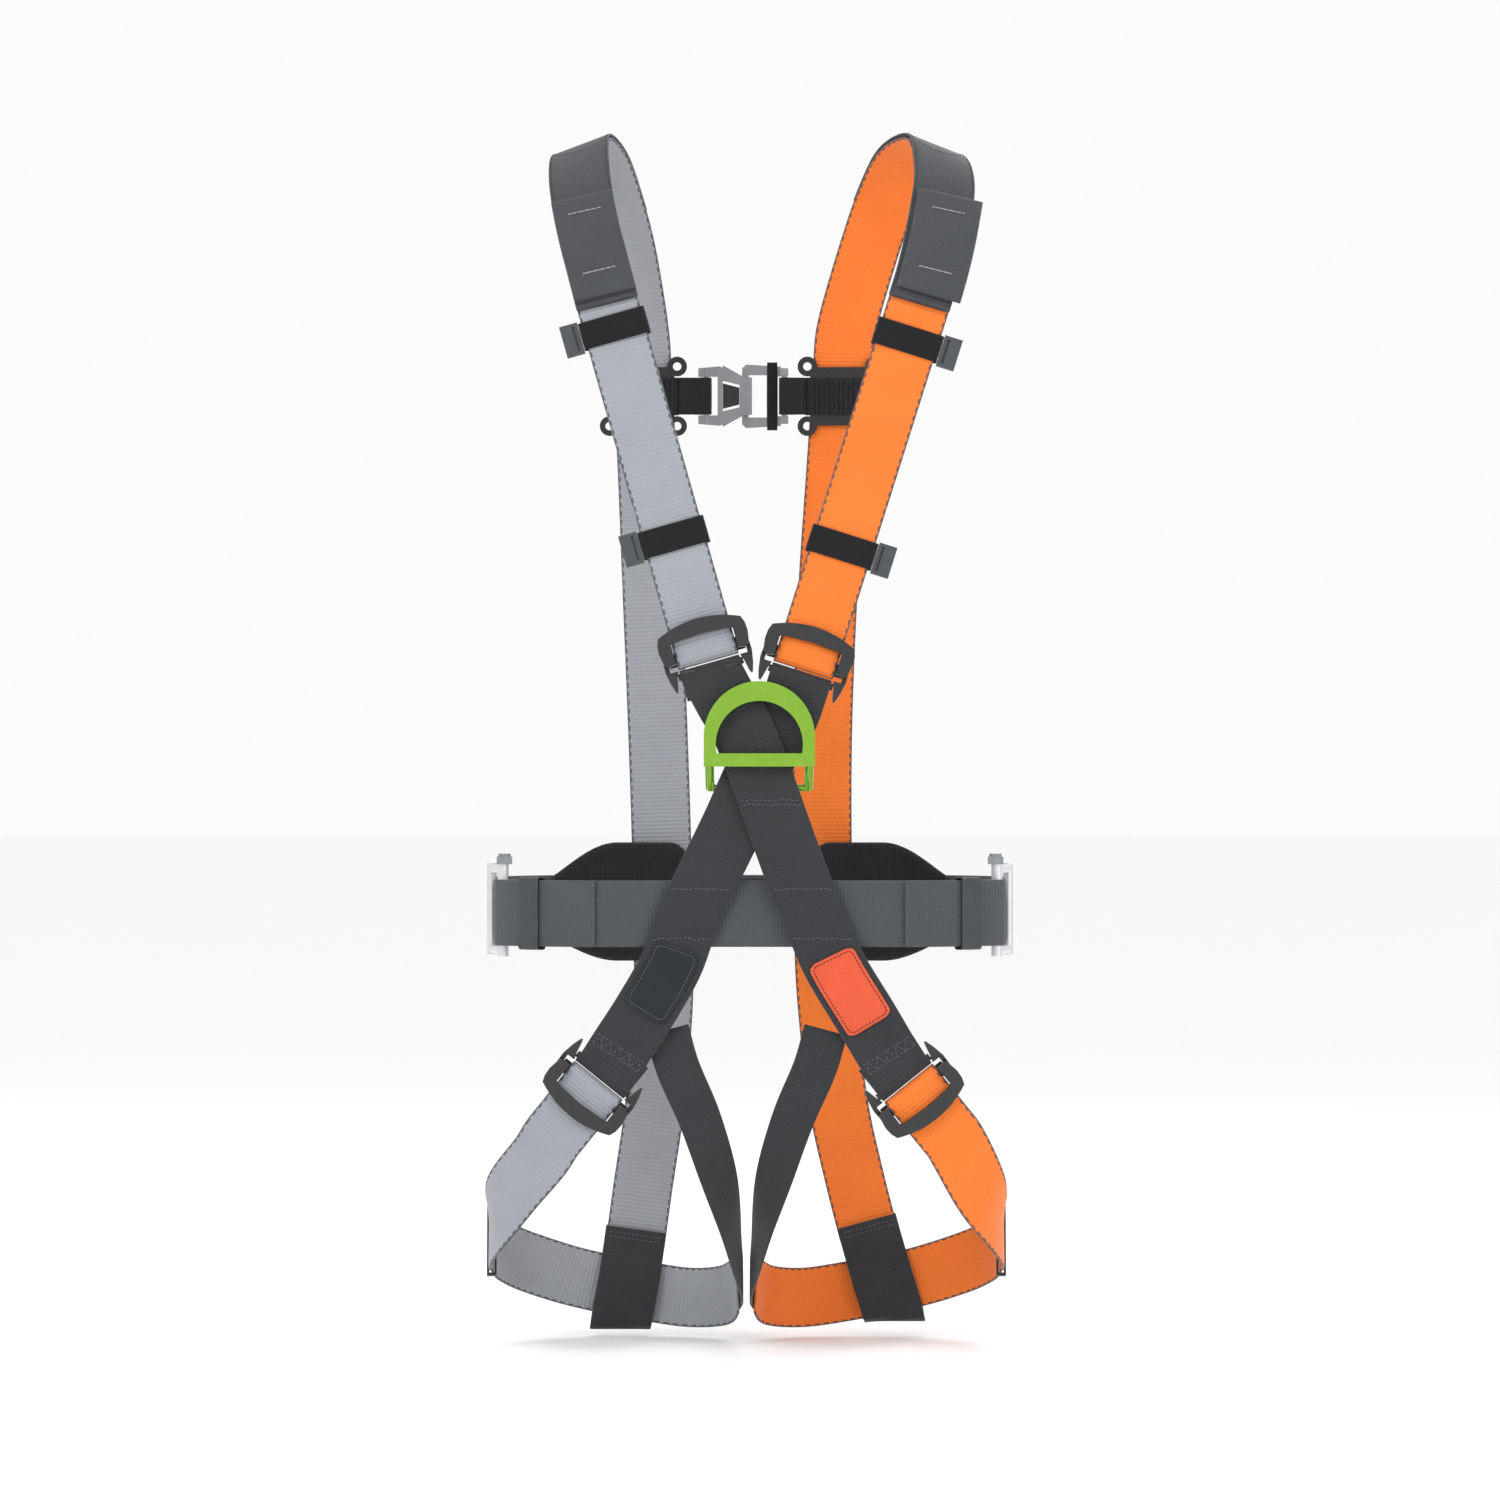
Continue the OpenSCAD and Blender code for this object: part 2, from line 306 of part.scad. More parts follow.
// chest strap on the two rear runs of the main straps
cz = 385.5; cy = 106.2; hole_h = 28; eye_r = 3.2; eye_o = 7.4;
module chest_plate(x) color(BLACK) translate([x, 0, cz]) rotate([90, 0, 0]) translate([0, 0, -(cy - 2)]) linear_extrude(3) difference() {
    union() {
        square([47, 44], center = true);
        for (sx = [-1, 1]) for (sz = [-1, 1]) translate([sx*25.5, sz*22.5]) circle(r = eye_o, $fn = 48);
    }
    for (sx = [-1, 1]) for (sz = [-1, 1]) translate([sx*25.5, sz*22.5]) circle(r = eye_r, $fn = 48);
}
CLX = -80.5; CRX = 68.8;
module chest_plate_left() chest_plate(CLX);
module chest_plate_right() chest_plate(CRX);
wy0 = cy - 7.2;                      // front face of the chest webbing
module chest_wrap(x) translate([x, 0, cz]) difference() {
    translate([-27.6, wy0, -hole_h/2]) cube([55.2, 13.4, hole_h]);
    translate([-25.8, wy0 + 2, -hole_h]) cube([51.6, 9.4, 2*hole_h]);
}
hx = -33; fx = 26; wr = 2 + 0.3 + 2;  // bars that the chest webbing turns on
module fold(x, s) translate([x, wy0 + 1, cz]) {
    difference() { cylinder(h = hole_h, r = wr, center = true); cylinder(h = hole_h + 2, r = wr - 2, center = true);
        translate([s > 0 ? -20 : 0, -20, -30]) cube([20, 40, 60]); }
    for (y = [-wr, wr - 2]) translate([s > 0 ? -6 : 0, y, -hole_h/2]) cube([6, 2, hole_h]);
}
module chest_web_left() color(BLACK) {
    chest_wrap(CLX);
    translate([CLX + 27.59, wy0, cz - hole_h/2]) cube([hx - 6 - CLX - 27.58, 2, hole_h]);
    fold(hx, 1);
    translate([hx - 7, wy0 + 1 - wr, cz - hole_h/2]) cube([1.01, 2*wr, hole_h]);
}
module chest_web_right() color(BLACK) {
    chest_wrap(CRX);
    translate([fx + 6, wy0, cz - hole_h/2]) cube([CRX - 27.59 - fx - 6, 2, hole_h]);
    fold(fx, -1);
    translate([fx + 5.99, wy0 + 1 - wr, cz - hole_h/2]) cube([1.01, 2*wr, hole_h]);
}
// hook plate: round bar in the webbing, a window, and a nose in front of the frame's bar
hook_y = wy0 + 1;
module chest_hook() color("#7d8186") {
    translate([hx, hook_y, cz - 21]) cylinder(h = 42, r = 2);
    translate([0, hook_y, cz]) rotate([90, 0, 0]) translate([0, 0, -1.5]) linear_extrude(3) {
        for (s = [-1, 1]) polygon([[hx - 6, 14.6*s], [hx - 6, 21*s], [-22, 22.5*s], [-20, 14.6*s]]);
        difference() {
            polygon([[-24.5, 18], [-24.5, -18], [-20, -23], [-5, -14.6], [1.5, -14], [1.5, 14], [-5, 14.6], [-20, 23]]);
            polygon([[-20.5, 11.5], [-20.5, -11.5], [-8, -8.5], [-8, 8.5]]);
        }
    }
}
module chest_hook_tongue() color(BLACK) translate([0, hook_y, cz]) rotate([90, 0, 0]) translate([0, 0, -1]) linear_extrude(2) polygon([[-20.4, 9.6], [-20.4, -9.6], [-8.1, -6.4], [-8.1, 6.4]]);
module chest_frame() color("#8d9096") translate([0, hook_y, cz]) {
    translate([fx, 0, -21]) cylinder(h = 42, r = 2);
    translate([0, 5.5, 0]) rotate([90, 0, 0]) linear_extrude(3) difference() {
        polygon([[-6, 21], [-3, 24], [23.4, 22.4], [23.4, -22.4], [-3, -24], [-6, -21]]);
        polygon([[-1, 16], [12.6, 16], [12.6, -16], [-1, -16]]);
        polygon([[21, 15], [30, 15], [30, -15], [21, -15]]);
    }
    for (z = [15.2, -20.8]) translate([22.9, -2.1, z]) cube([6, 7.6, 5.6]);
}
module chest_stop() color(BLACK) translate([0, hook_y, cz]) difference() {
    translate([12.9, 1, -26]) cube([7.8, 6.2, 52]);
    translate([12, 2.2, -24.6]) cube([10, 3.6, 49.2]);
}

// tail keepers on the straight outer run of the leg loops
dKL = unit([0, 74, -10]);
module leg_keeper(s) color(BLACK) seat([s > 0 ? 2*lr_c + 191 : -191, 2, -245], dKL, [s, 0, 0]) difference() {
    translate([-web_w/2 - 3.4, -7, -3.4]) cube([web_w + 6.8, 14, 6.8]);
    translate([-web_w/2 - 1.2, -8, -2.2]) cube([web_w + 2.4, 16, 4.4]);
}
module leg_keeper_left() leg_keeper(-1);
module leg_keeper_right() leg_keeper(1);

// two blank patches sewn on the cross straps
nsew = 18;
module blank_patch() { color(BLACK) band(shifted(slice(crossB, nsew + 28, nsew + 35), web_t/2 + 1.2), 34, 1.3); }
module orange_patch() { color("#f2603a") band(shifted(slice(crossA, nsew + 29, nsew + 36), web_t/2 + 1.1), 36, 1); }

main_strap_left();
main_strap_right();
shoulder_sleeve_left();
shoulder_sleeve_right();
lanyard_pocket_left();
lanyard_pocket_right();
cross_strap_a();
cross_strap_b();
leg_strap_left();
leg_strap_right();
crotch_strap_left();
crotch_strap_right();
end_loop_left();
end_loop_right();
belt_front();
belt_rear();
lumbar_pad();
sternal_ring();
side_ring_left();
side_ring_right();
ring_head_left();
ring_head_right();
belt_keeper_left();
belt_keeper_right();
buckle_frame_shoulder_left();
buckle_frame_shoulder_right();
buckle_frame_leg_left();
buckle_frame_leg_right();
buckle_lever_shoulder_left();
buckle_lever_shoulder_right();
buckle_lever_leg_left();
buckle_lever_leg_right();
keeper_band_left_upper();
keeper_band_left_lower();
keeper_band_right_upper();
keeper_band_right_lower();
keeper_clip_left_upper();
keeper_clip_left_lower();
keeper_clip_right_upper();
keeper_clip_right_lower();
chest_plate_left();
chest_plate_right();
chest_web_left();
chest_web_right();
chest_hook();
chest_hook_tongue();
chest_frame();
chest_stop();
leg_keeper_left();
leg_keeper_right();
blank_patch();
orange_patch();
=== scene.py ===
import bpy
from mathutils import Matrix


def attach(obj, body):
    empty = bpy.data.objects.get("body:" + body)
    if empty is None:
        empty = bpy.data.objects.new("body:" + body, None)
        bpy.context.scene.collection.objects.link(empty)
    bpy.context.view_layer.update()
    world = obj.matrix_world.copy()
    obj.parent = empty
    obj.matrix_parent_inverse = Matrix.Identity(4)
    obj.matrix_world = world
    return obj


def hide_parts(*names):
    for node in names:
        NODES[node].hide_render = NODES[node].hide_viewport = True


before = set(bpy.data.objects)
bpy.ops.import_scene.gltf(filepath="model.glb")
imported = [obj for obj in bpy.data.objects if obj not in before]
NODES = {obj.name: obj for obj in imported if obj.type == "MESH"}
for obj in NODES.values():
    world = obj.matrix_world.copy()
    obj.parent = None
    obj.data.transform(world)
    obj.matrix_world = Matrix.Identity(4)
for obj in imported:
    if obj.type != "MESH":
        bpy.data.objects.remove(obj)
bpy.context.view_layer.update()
import bpy, bmesh, math
import numpy as np
from mathutils import Vector
MM = 0.001
web_t, lay_gap, bar_r, web_w, belt_w = 2.0, 0.5, 5.0, 45.0, 48.0

# ------------------------------------------------------------ paths (mm), the same as the frame's
V = lambda *a: np.array(a, float)
def unit(v): v = np.asarray(v, float); return v / np.linalg.norm(v)
def row(p, n): return [*p, *n]
def cr1(a, b, c, d, s): return 0.5*(2*b + (c-a)*s + (2*a-5*b+4*c-d)*s*s + (3*b-a-3*c+d)*s**3)
def smooth(p, m=6):
    p = [np.array(r, float) for r in p]; out = []
    for i in range(len(p)-1):
        for k in range(m): out.append(cr1(p[max(i-1, 0)], p[i], p[i+1], p[min(i+2, len(p)-1)], k/m))
    return out + [p[-1]]
def sl(q, a, b): return [q[i] for i in range(a, b+1)]
def shifted(q, d): return [np.concatenate([np.array(r[:3]) + unit(r[3:])*d, r[3:]]) for r in q]
def outn(d, n): return unit(n - d*np.dot(d, n))
def at(o, d, n, v): z = outn(d, n); x = np.cross(d, z); return o + x*v[0] + d*v[1] + z*v[2]
F = V(0, -1, 0)
wrap_r = bar_r + 0.4 + 1; fixw_r = 2.5 + 0.3 + 1; fix_y = -12.8
SL1, SL2, SR1, SR2 = V(-102, -100, 437), V(-43, -122, 229), V(121, -100, 437), V(55, -122, 229)
dSL, dSR = unit(SL1-SL2), unit(SR1-SR2)
OSL = SL2 - dSL*41 - outn(dSL, F)*wrap_r; OSR = SR2 - dSR*48 - outn(dSR, F)*wrap_r
dLL, dLR = unit([-.62, .14, -.77]), unit([.62, .14, -.77]); OLL, OLR = V(-114, -112, -126), V(119, -112, -128)
def turn(o, d, n, r, tail, run, gap):
    z = outn(d, n); lay = web_t + gap; q = []
    y = tail
    while y >= 40 - 1e-6: q.append(row(at(o, d, n, (0, y, r-lay)), -z)); y -= 8
    for k in range(11): s = k/10; e = s*s*(3-2*s); q.append(row(at(o, d, n, (0, 34*(1-s), r-lay-(2*r-lay)*e)), -z))
    for a in range(195, 346, 15):
        a = math.radians(a-180); q.append(row(at(o, d, n, (0, -r*math.sin(a), -r*math.cos(a))), -z*math.cos(a) - d*math.sin(a)))
    for k in range(5): q.append(row(at(o, d, n, (0, run*k/4, r)), z))
    return [np.array(r_) for r_ in q]
SHL = [[-92.5,-103.5,404,0,-1,.1],[-102,-100,437,0,-.98,.12],[-110,-90,467,-.05,-.92,.35],[-118,-73,499,-.12,-.82,.5],[-124.5,-42,537,-.22,-.55,.75],[-124,0,563,-.33,0,.94],
 [-112,38,553,-.25,.5,.8],[-102,63,526,-.15,.78,.5],[-93,84,492,-.05,.92,.3],[-84,103,437,0,1,.06],[-81.5,106.2,402,0,1,0],[-79.5,106.2,366,0,1,0],[-77.5,106.2,330,0,1,0],[-74,109.5,240,0,1,.03],
 [-70,113,140,0,1,0],[-67,112.7,50,0,1,0],[-65.5,112.7,-30,0,1,0],[-66,113.5,-80,0,1,0],[-72,115,-150,0,1,0],[-81,114,-212,0,1,0],[-87,112.5,-256,0,1,0]]
SHR = [[110.5,-103.5,404,0,-1,.1],[121,-100,437,0,-.98,.12],[130,-90,467,.05,-.92,.35],[137,-73,499,.12,-.82,.5],[142,-42,537,.25,-.55,.75],[136,0,563,.33,0,.94],
 [117,34,557,.2,.45,.85],[103,60,532,.15,.75,.55],[90,82,496,.05,.92,.3],[73,103,437,0,1,.06],[70,106.2,402,0,1,0],[67.5,106.2,366,0,1,0],[65,106.2,330,0,1,0],[59,109.5,240,0,1,.03],
 [55,113,140,0,1,0],[54.5,112.7,50,0,1,0],[56,112.7,-30,0,1,0],[59,113.5,-80,0,1,0],[67,115,-150,0,1,0],[79,114,-205,0,1,0],[90,112.5,-248,0,1,0]]
shl, shr = smooth(SHL), smooth(SHR)
runL = np.linalg.norm(SL1-SL2) + 41 - 70; runR = np.linalg.norm(SR1-SR2) + 48 - 70
mainL = turn(OSL, dSL, F, wrap_r, 250, runL, .8) + sl(shl, 6, len(shl)-1)
mainR = turn(OSR, dSR, F, wrap_r, 250, runR, .8) + sl(shr, 6, len(shr)-1)
def sewn(o, d, n, tail, back=fixw_r-web_t-2):
    z = outn(d, n); f = at(o, d, n, (0, fix_y, 0)); q = []
    for k in range(5): q.append(row(at(f, d, n, (0, -tail*(1-k/4), back - (back+fixw_r)*k/4)), -z))
    for a in range(15, 166, 15):
        a = math.radians(a); q.append(row(at(f, d, n, (0, fixw_r*math.sin(a), -fixw_r*math.cos(a))), d*math.sin(a) - z*math.cos(a)))
    q.append(row(at(f, d, n, (0, 0, fixw_r)), z)); q.append(row(at(f, d, n, (0, -5, fixw_r)), z))
    return [np.array(r_) for r_ in q]
CA = [[-15.5,-126.6,151,0,-1,0],[-7,-127,137,0,-1,0],[6,-127,105,0,-1,0],[21,-126.5,63,0,-1,0],[36,-125,22,0,-1,0],[48,-124,-7,0,-1,0],[61,-123,-37,0,-1,0],[84,-120.5,-75,0,-1,0],[97,-118.5,-97,.1,-1,0]]
CB = [[29.5,-123.6,149,0,-1,0],[24,-122.8,137,0,-1,0],[6,-122.5,105,0,-1,0],[-13,-122,63,0,-1,0],[-33,-121,22,0,-1,0],[-46,-120.5,-7,0,-1,0],[-57,-120,-37,0,-1,0],[-77,-119.5,-72,0,-1,0],[-92,-118,-95,-.1,-1,0]]
crossA = sewn(OSL, dSL, F, 18) + smooth(CA, 5) + sewn(OLR, dLR, F, 24)[::-1]
crossB = sewn(OSR, dSR, F, 7, -2.6) + smooth(CB, 5) + sewn(OLL, dLL, F, 24)[::-1]
LEG = [[-152,-108,-176,-.15,-1,0],[-173,-98,-202,-.4,-.92,0],[-186.5,-72,-226,-.85,-.52,0],[-191,-36,-240,-1,0,0],[-191,2,-245,-1,0,0],[-191,38,-250,-1,0,0],[-185,64,-257,-.85,.5,0],
 [-167,87,-267,-.5,.85,0],[-140,101,-277,-.2,1,0],[-114,108,-284,0,1,0],[-78,110,-291,0,1,0],[-46,104,-295,.3,.95,0],[-20,86,-292,.8,.6,0],[-9.5,60,-282,1,.1,0]]
mir = lambda q: [np.array([2*-2.6-r[0], r[1], r[2], -r[3], r[4], r[5]]) for r in q]
def leg(o, d, pts):
    c = [row(at(o, d, F, (0, 10, wrap_r)), outn(d, F)), row(at(o, d, F, (0, 44, wrap_r)), outn(d, F))] + [list(r) for r in pts]
    return turn(o, d, F, wrap_r, 44, 36, lay_gap) + sl(smooth(c), 6, 6*(len(pts)+1))
legL, legR = leg(OLL, dLL, LEG), leg(OLR, dLR, mir(LEG)[1:])
CROTCH = [[-60,-112.5,-84,.05,-1,0],[-52,-111.5,-112,.15,-1,0],[-37,-108,-147,.3,-.95,0],[-24.5,-98,-185,.5,-.87,0],[-15,-76,-221,.8,-.6,0],[-9.5,-38,-252,.96,-.3,0],[-6,8,-273,1,0,0]]
lg3 = shifted(legL, 3); crotchL = sl(smooth(CROTCH + [list(lg3[-1])]), 0, 41) + [lg3[i] for i in range(len(legL)-1, len(legL)-10, -1)]
crotchR = mir(crotchL)
LOOPL = [[-86,108.8,-244,0,-1,0],[-88.5,104.5,-262,0,-1,0],[-92,102,-285,0,-1,0],[-96.5,102.5,-309,0,-1,0],[-97.7,104.5,-316,0,-.7,-.7],[-98.2,108,-318.5,0,0,-1],[-97.7,111.8,-316,0,.7,-.7],[-96.5,113.8,-309,0,1,0],[-92,115,-285,0,1,0],[-88.5,115.8,-262,0,1,0],[-86,116.4,-244,0,1,0]]
LOOPR = [[88,108.8,-238,0,-1,0],[93,103.2,-256,0,-1,0],[100,99.9,-280,0,-1,0],[107,100.4,-303,0,-1,0],[108.8,103.2,-310,0,-.7,-.7],[109.6,107.5,-312.5,0,0,-1],[108.8,111.6,-310,0,.7,-.7],[107,113.8,-303,0,1,0],[100,115,-280,0,1,0],[93,115.8,-256,0,1,0],[88,116.4,-238,0,1,0]]
ring_x, ring_f, ring_b, corner = 190., -116.5, 108., 80.; arc_x = 110.; cf = ring_f+80; cb = ring_b-80
post_a, post_r = 29., 4.; post_w = 5.4; ca_, sa_ = math.cos(math.radians(29)), math.sin(math.radians(29))
PX, PY = arc_x + corner*ca_, cf - corner*sa_; half_lay = (web_t+lay_gap+.3)/2
def lay(a): s = math.radians(a-post_a)*corner; return half_lay + (post_w-half_lay)*math.exp(-(s/14)**2)
def rim(a, d): a = math.radians(a); return [arc_x+(corner+d)*math.cos(a), cf-(corner+d)*math.sin(a), 0, math.cos(a), -math.sin(a), 0]
half = [[arc_x+2, ring_f-half_lay, 0, 0, -1, 0]] + [rim(a, lay(a)) for a in range(85, 35, -7)]
for k in range(9):
    t = math.radians(-90+22.5*k); c, q = math.cos(t), math.sin(t); half.append([PX+post_w*(-ca_*q+sa_*c), PY+post_w*(sa_*q+ca_*c), 0, -ca_*q+sa_*c, sa_*q+ca_*c, 0])
for a in range(36, 86, 7): r = rim(a, -lay(a)); half.append([r[0], r[1], 0, -r[3], -r[4], 0])
half += [[x, ring_f+half_lay, 0, 0, 1, 0] for x in (110, 88, 66, 44, 22)] + [[0, ring_f+half_lay, 0, 0, 1, 0]]
frontPath = [np.array(r, float) for r in half] + [np.array([-r[0], r[1], 0, -r[3], r[4], 0]) for r in half[-2::-1]]
stp = lambda x: (lambda k: k*k*(3-2*k))(min(1, max(0, x))); inset = lambda y: 8.6*(1-stp((y-4)/34))
rh = []; a = 38
while a > -1e-6: rh.append(rim(a, -8.6)); a -= 6.35
rh += [[ring_x-inset(y), y, 0, 1, 0, 0] for y in (-28, -20, -12, -4, 4, 12, 20)]
for k in range(13): a = math.radians(7.5*k); rh.append([arc_x+80*math.cos(a)-(inset(cb+80*math.sin(a)) if k < 2 else 0), cb+80*math.sin(a), 0, math.cos(a), math.sin(a), 0])
rh += [[x, ring_b, 0, 0, 1, 0] for x in (90, 70, 50, 30, 10)]
rearPath = [np.array(r, float) for r in rh] + [np.array([-r[0], r[1], 0, -r[3], r[4], 0]) for r in rh[::-1]]

# ------------------------------------------------------------ procedural materials
def srgb(c): return tuple(((x/255)/12.92 if x/255 <= .04045 else ((x/255+.055)/1.055)**2.4) for x in c) + (1,)
class G:
    def __init__(s, name):
        s.m = bpy.data.materials.new(name); s.m.use_nodes = True; s.t = s.m.node_tree; s.b = next(n for n in s.t.nodes if n.type == "BSDF_PRINCIPLED")
    def n(s, kind, **k):
        x = s.t.nodes.new(kind)
        for a, v in k.items(): setattr(x, a, v)
        return x
    def put(s, sock, v):
        if isinstance(v, bpy.types.NodeSocket): s.t.links.new(v, sock)
        else: sock.default_value = v
    def M(s, op, a, b=0.0, c=0.0):
        x = s.n("ShaderNodeMath", operation=op); s.put(x.inputs[0], a); s.put(x.inputs[1], b); s.put(x.inputs[2], c); return x.outputs[0]
    def mix(s, f, a, b):
        x = s.n("ShaderNodeMix", data_type="RGBA"); s.put(x.inputs[0], f); s.put(x.inputs[6], a); s.put(x.inputs[7], b); return x.outputs[2]
    def noise(s, vec, scale, detail=3.0):
        x = s.n("ShaderNodeTexNoise"); s.put(x.inputs["Vector"], vec); x.inputs["Scale"].default_value = scale; x.inputs["Detail"].default_value = detail; return x.outputs["Fac"]
    def ramp(s, v, lo, hi):
        x = s.n("ShaderNodeMapRange", clamp=True); s.put(x.inputs[0], v); x.inputs[1].default_value = lo; x.inputs[2].default_value = hi; return x.outputs[0]
    def bump(s, h, dist, strength=1.0):
        x = s.n("ShaderNodeBump"); x.inputs["Strength"].default_value = strength; x.inputs["Distance"].default_value = dist; s.put(x.inputs["Height"], h); s.put(s.b.inputs["Normal"], x.outputs[0])
    def sp(s, **k):
        for a, v in k.items():
            i = s.b.inputs.get(a.replace("_", " "));
            if i is not None: s.put(i, v)
def wave(g, x, period): return g.M("MULTIPLY_ADD", g.M("SINE", g.M("MULTIPLY", x, 2*math.pi/period)), .5, .5)
def webbing(name, col, edge=None, hw=22.5, rib=1.7, rib_shade_paint=.10, rough=.72, seam=0):
    """Narrow woven webbing: weft ribs across, fine warp ends along, a selvedge at both sides, soft wear and soiling;
    the weave texture in the colour also carries painted shade in the rib troughs and painted highlight on the crowns.
    """
    g = G(name); uv = g.n("ShaderNodeUVMap", uv_map="UVMap").outputs[0]; se = g.n("ShaderNodeSeparateXYZ"); g.put(se.inputs[0], uv); u, v = se.outputs[0], se.outputs[1]
    P = g.n("ShaderNodeTexCoord").outputs["Object"]
    ribs = wave(g, v, rib*MM); warp = wave(g, u, 1.3*MM); tw = wave(g, g.M("ADD", u, v), 2.6*MM)
    h = g.M("ADD", g.M("MULTIPLY", ribs, .65), g.M("MULTIPLY", g.M("MULTIPLY", warp, tw), .45))
    soil = g.noise(P, 28, 4.0); fine = g.noise(P, 900, 2.0)
    c = srgb(col); dk = tuple(x*.72 for x in c[:3]) + (1,); lt = tuple(min(1, x*1.12) for x in c[:3]) + (1,)
    base = g.mix(g.M("MULTIPLY", g.ramp(soil, .35, .7), .35), c, dk)
    # weave texture plus painted shade and painted highlight: the weave height h darkens the colour in the rib troughs
    # and lightens it on the crowns
    base = g.mix(g.M("MULTIPLY", h, rib_shade_paint*4), g.mix(rib_shade_paint*3, base, dk), g.mix(.5, base, lt))
    base = g.mix(g.M("MULTIPLY", g.ramp(fine, .45, .75), .12), base, lt)
    au = g.M("ABSOLUTE", u)
    if edge is not None:
        e = srgb(edge); selv = g.M("GREATER_THAN", au, (hw-.95)*MM)
        dash = g.M("MULTIPLY", g.M("COMPARE", au, (hw-1.5)*MM, .00045), g.M("GREATER_THAN", wave(g, v, 6.5*MM), .42))
        base = g.mix(g.M("MULTIPLY", g.M("MAXIMUM", selv, dash), .93), base, e)
        h = g.M("ADD", h, g.M("MULTIPLY", selv, .8))
    wear = g.M("MULTIPLY", g.ramp(au, (hw-1.4)*MM, hw*MM), g.ramp(g.noise(P, 160, 3.0), .5, .72))
    base = g.mix(g.M("MULTIPLY", wear, .35), base, tuple(min(1, x*1.5+.06) for x in c[:3]) + (1,))
    g.sp(Base_Color=base, Roughness=g.M("MULTIPLY_ADD", soil, .16, rough-.08), Sheen_Weight=.18, Sheen_Roughness=.45, Specular_IOR_Level=.3); g.bump(h, .0004, .9); return g.m
def hard(name, col, rough, metal=0.0, grain=.12, wear=.25, coat=0.0, spec=.5, brushed=False):
    """Moulded plastic or painted or bare metal: fine grain, uneven gloss, light rubbing."""
    g = G(name); P = g.n("ShaderNodeTexCoord").outputs["Object"]; c = srgb(col)
    if brushed:
        mp = g.n("ShaderNodeMapping"); g.put(mp.inputs[0], P); mp.inputs["Scale"].default_value = (1, 1, 14); fine = g.noise(mp.outputs[0], 500, 3.0)
    else: fine = g.noise(P, 1400, 2.0)
    big = g.noise(P, 45, 4.0); lt = tuple(min(1, x*1.35+.02) for x in c[:3]) + (1,); dk = tuple(x*.7 for x in c[:3]) + (1,)
    base = g.mix(g.M("MULTIPLY", g.ramp(big, .3, .7), .3), c, dk); base = g.mix(g.M("MULTIPLY", g.ramp(g.noise(P, 130, 4.0), .56, .74), wear), base, lt)
    g.sp(Base_Color=base, Metallic=metal, Roughness=g.M("MULTIPLY_ADD", big, .2, rough-.1), Specular_IOR_Level=spec, Coat_Weight=coat, Coat_Roughness=.2); g.bump(fine, .00006, grain*4); return g.m
def foam(name, col):
    """Spacer mesh over foam: staggered cells."""
    g = G(name); uv = g.n("ShaderNodeUVMap", uv_map="UVMap").outputs[0]; vo = g.n("ShaderNodeTexVoronoi"); g.put(vo.inputs["Vector"], uv); vo.inputs["Scale"].default_value = 330; vo.inputs["Randomness"].default_value = .25
    P = g.n("ShaderNodeTexCoord").outputs["Object"]; c = srgb(col); cell = g.ramp(vo.outputs["Distance"], .1, .55); lt = tuple(x*2.0+.006 for x in c[:3]) + (1,)
    base = g.mix(cell, c, lt); base = g.mix(g.M("MULTIPLY", g.ramp(g.noise(P, 30, 3.0), .4, .7), .4), base, c)
    g.sp(Base_Color=base, Roughness=.85, Sheen_Weight=.15, Specular_IOR_Level=.2); g.bump(cell, .0005, .6); return g.m
GREY, ORANGE, DARK, BELT, BLACK = (158,162,168), (244,124,44), (66,70,74), (74,78,83), (20,21,25)
MT = {
 "webbing_grey": webbing("webbing_grey", GREY, (72,76,82), rib=3.0, rib_shade_paint=.17), "webbing_orange": webbing("webbing_orange", ORANGE, (70,70,74), rib=3.0, rib_shade_paint=.09),
 "webbing_dark": webbing("webbing_dark", (47,49,52), None, rib=3.0, rib_shade_paint=.22), "webbing_sleeve": webbing("webbing_sleeve", (68,71,75), None, rib=2.4, rib_shade_paint=.17), "webbing_belt": webbing("webbing_belt", BELT, None, 24, 2.6, .17),
 "webbing_black": webbing("webbing_black", BLACK, None, 14, 2.6, .2), "elastic_black": webbing("elastic_black", (16,17,20), None, 10, 1.2, .2, .8),
 "rubber_belt": webbing("rubber_belt", (62,66,70), None, 9, 1.5, .08, .6), "pad_fabric": foam("pad_fabric", (17,18,21)),
 "steel_silver": hard("steel_silver", (216,218,221), .32, .75, .05, .2, brushed=True), "steel_grey": hard("steel_grey", (140,143,147), .4, .6, .08, .3, brushed=True),
 "ring_green": hard("ring_green", (134,182,52), .26, .7, .04, .22, .3), "buckle_black": hard("buckle_black", (21,23,26), .42, 0, .15, .3, .25),
 "plastic_grey": hard("plastic_grey", (62,66,70), .55), "plate_black": hard("plate_black", (24,25,28), .5),
 "patch_black": webbing("patch_black", (30,36,39), None, 17, .9, .1, .6), "patch_orange": webbing("patch_orange", (232,90,52), None, 18, .9, .05, .5),
 "thread_dark": webbing("thread_dark", (40,43,47), None, 5, .5), "thread_light": webbing("thread_light", (205,208,212), None, 5, .5), "thread_mid": webbing("thread_mid", (104,108,113), None, 5, .5),
}
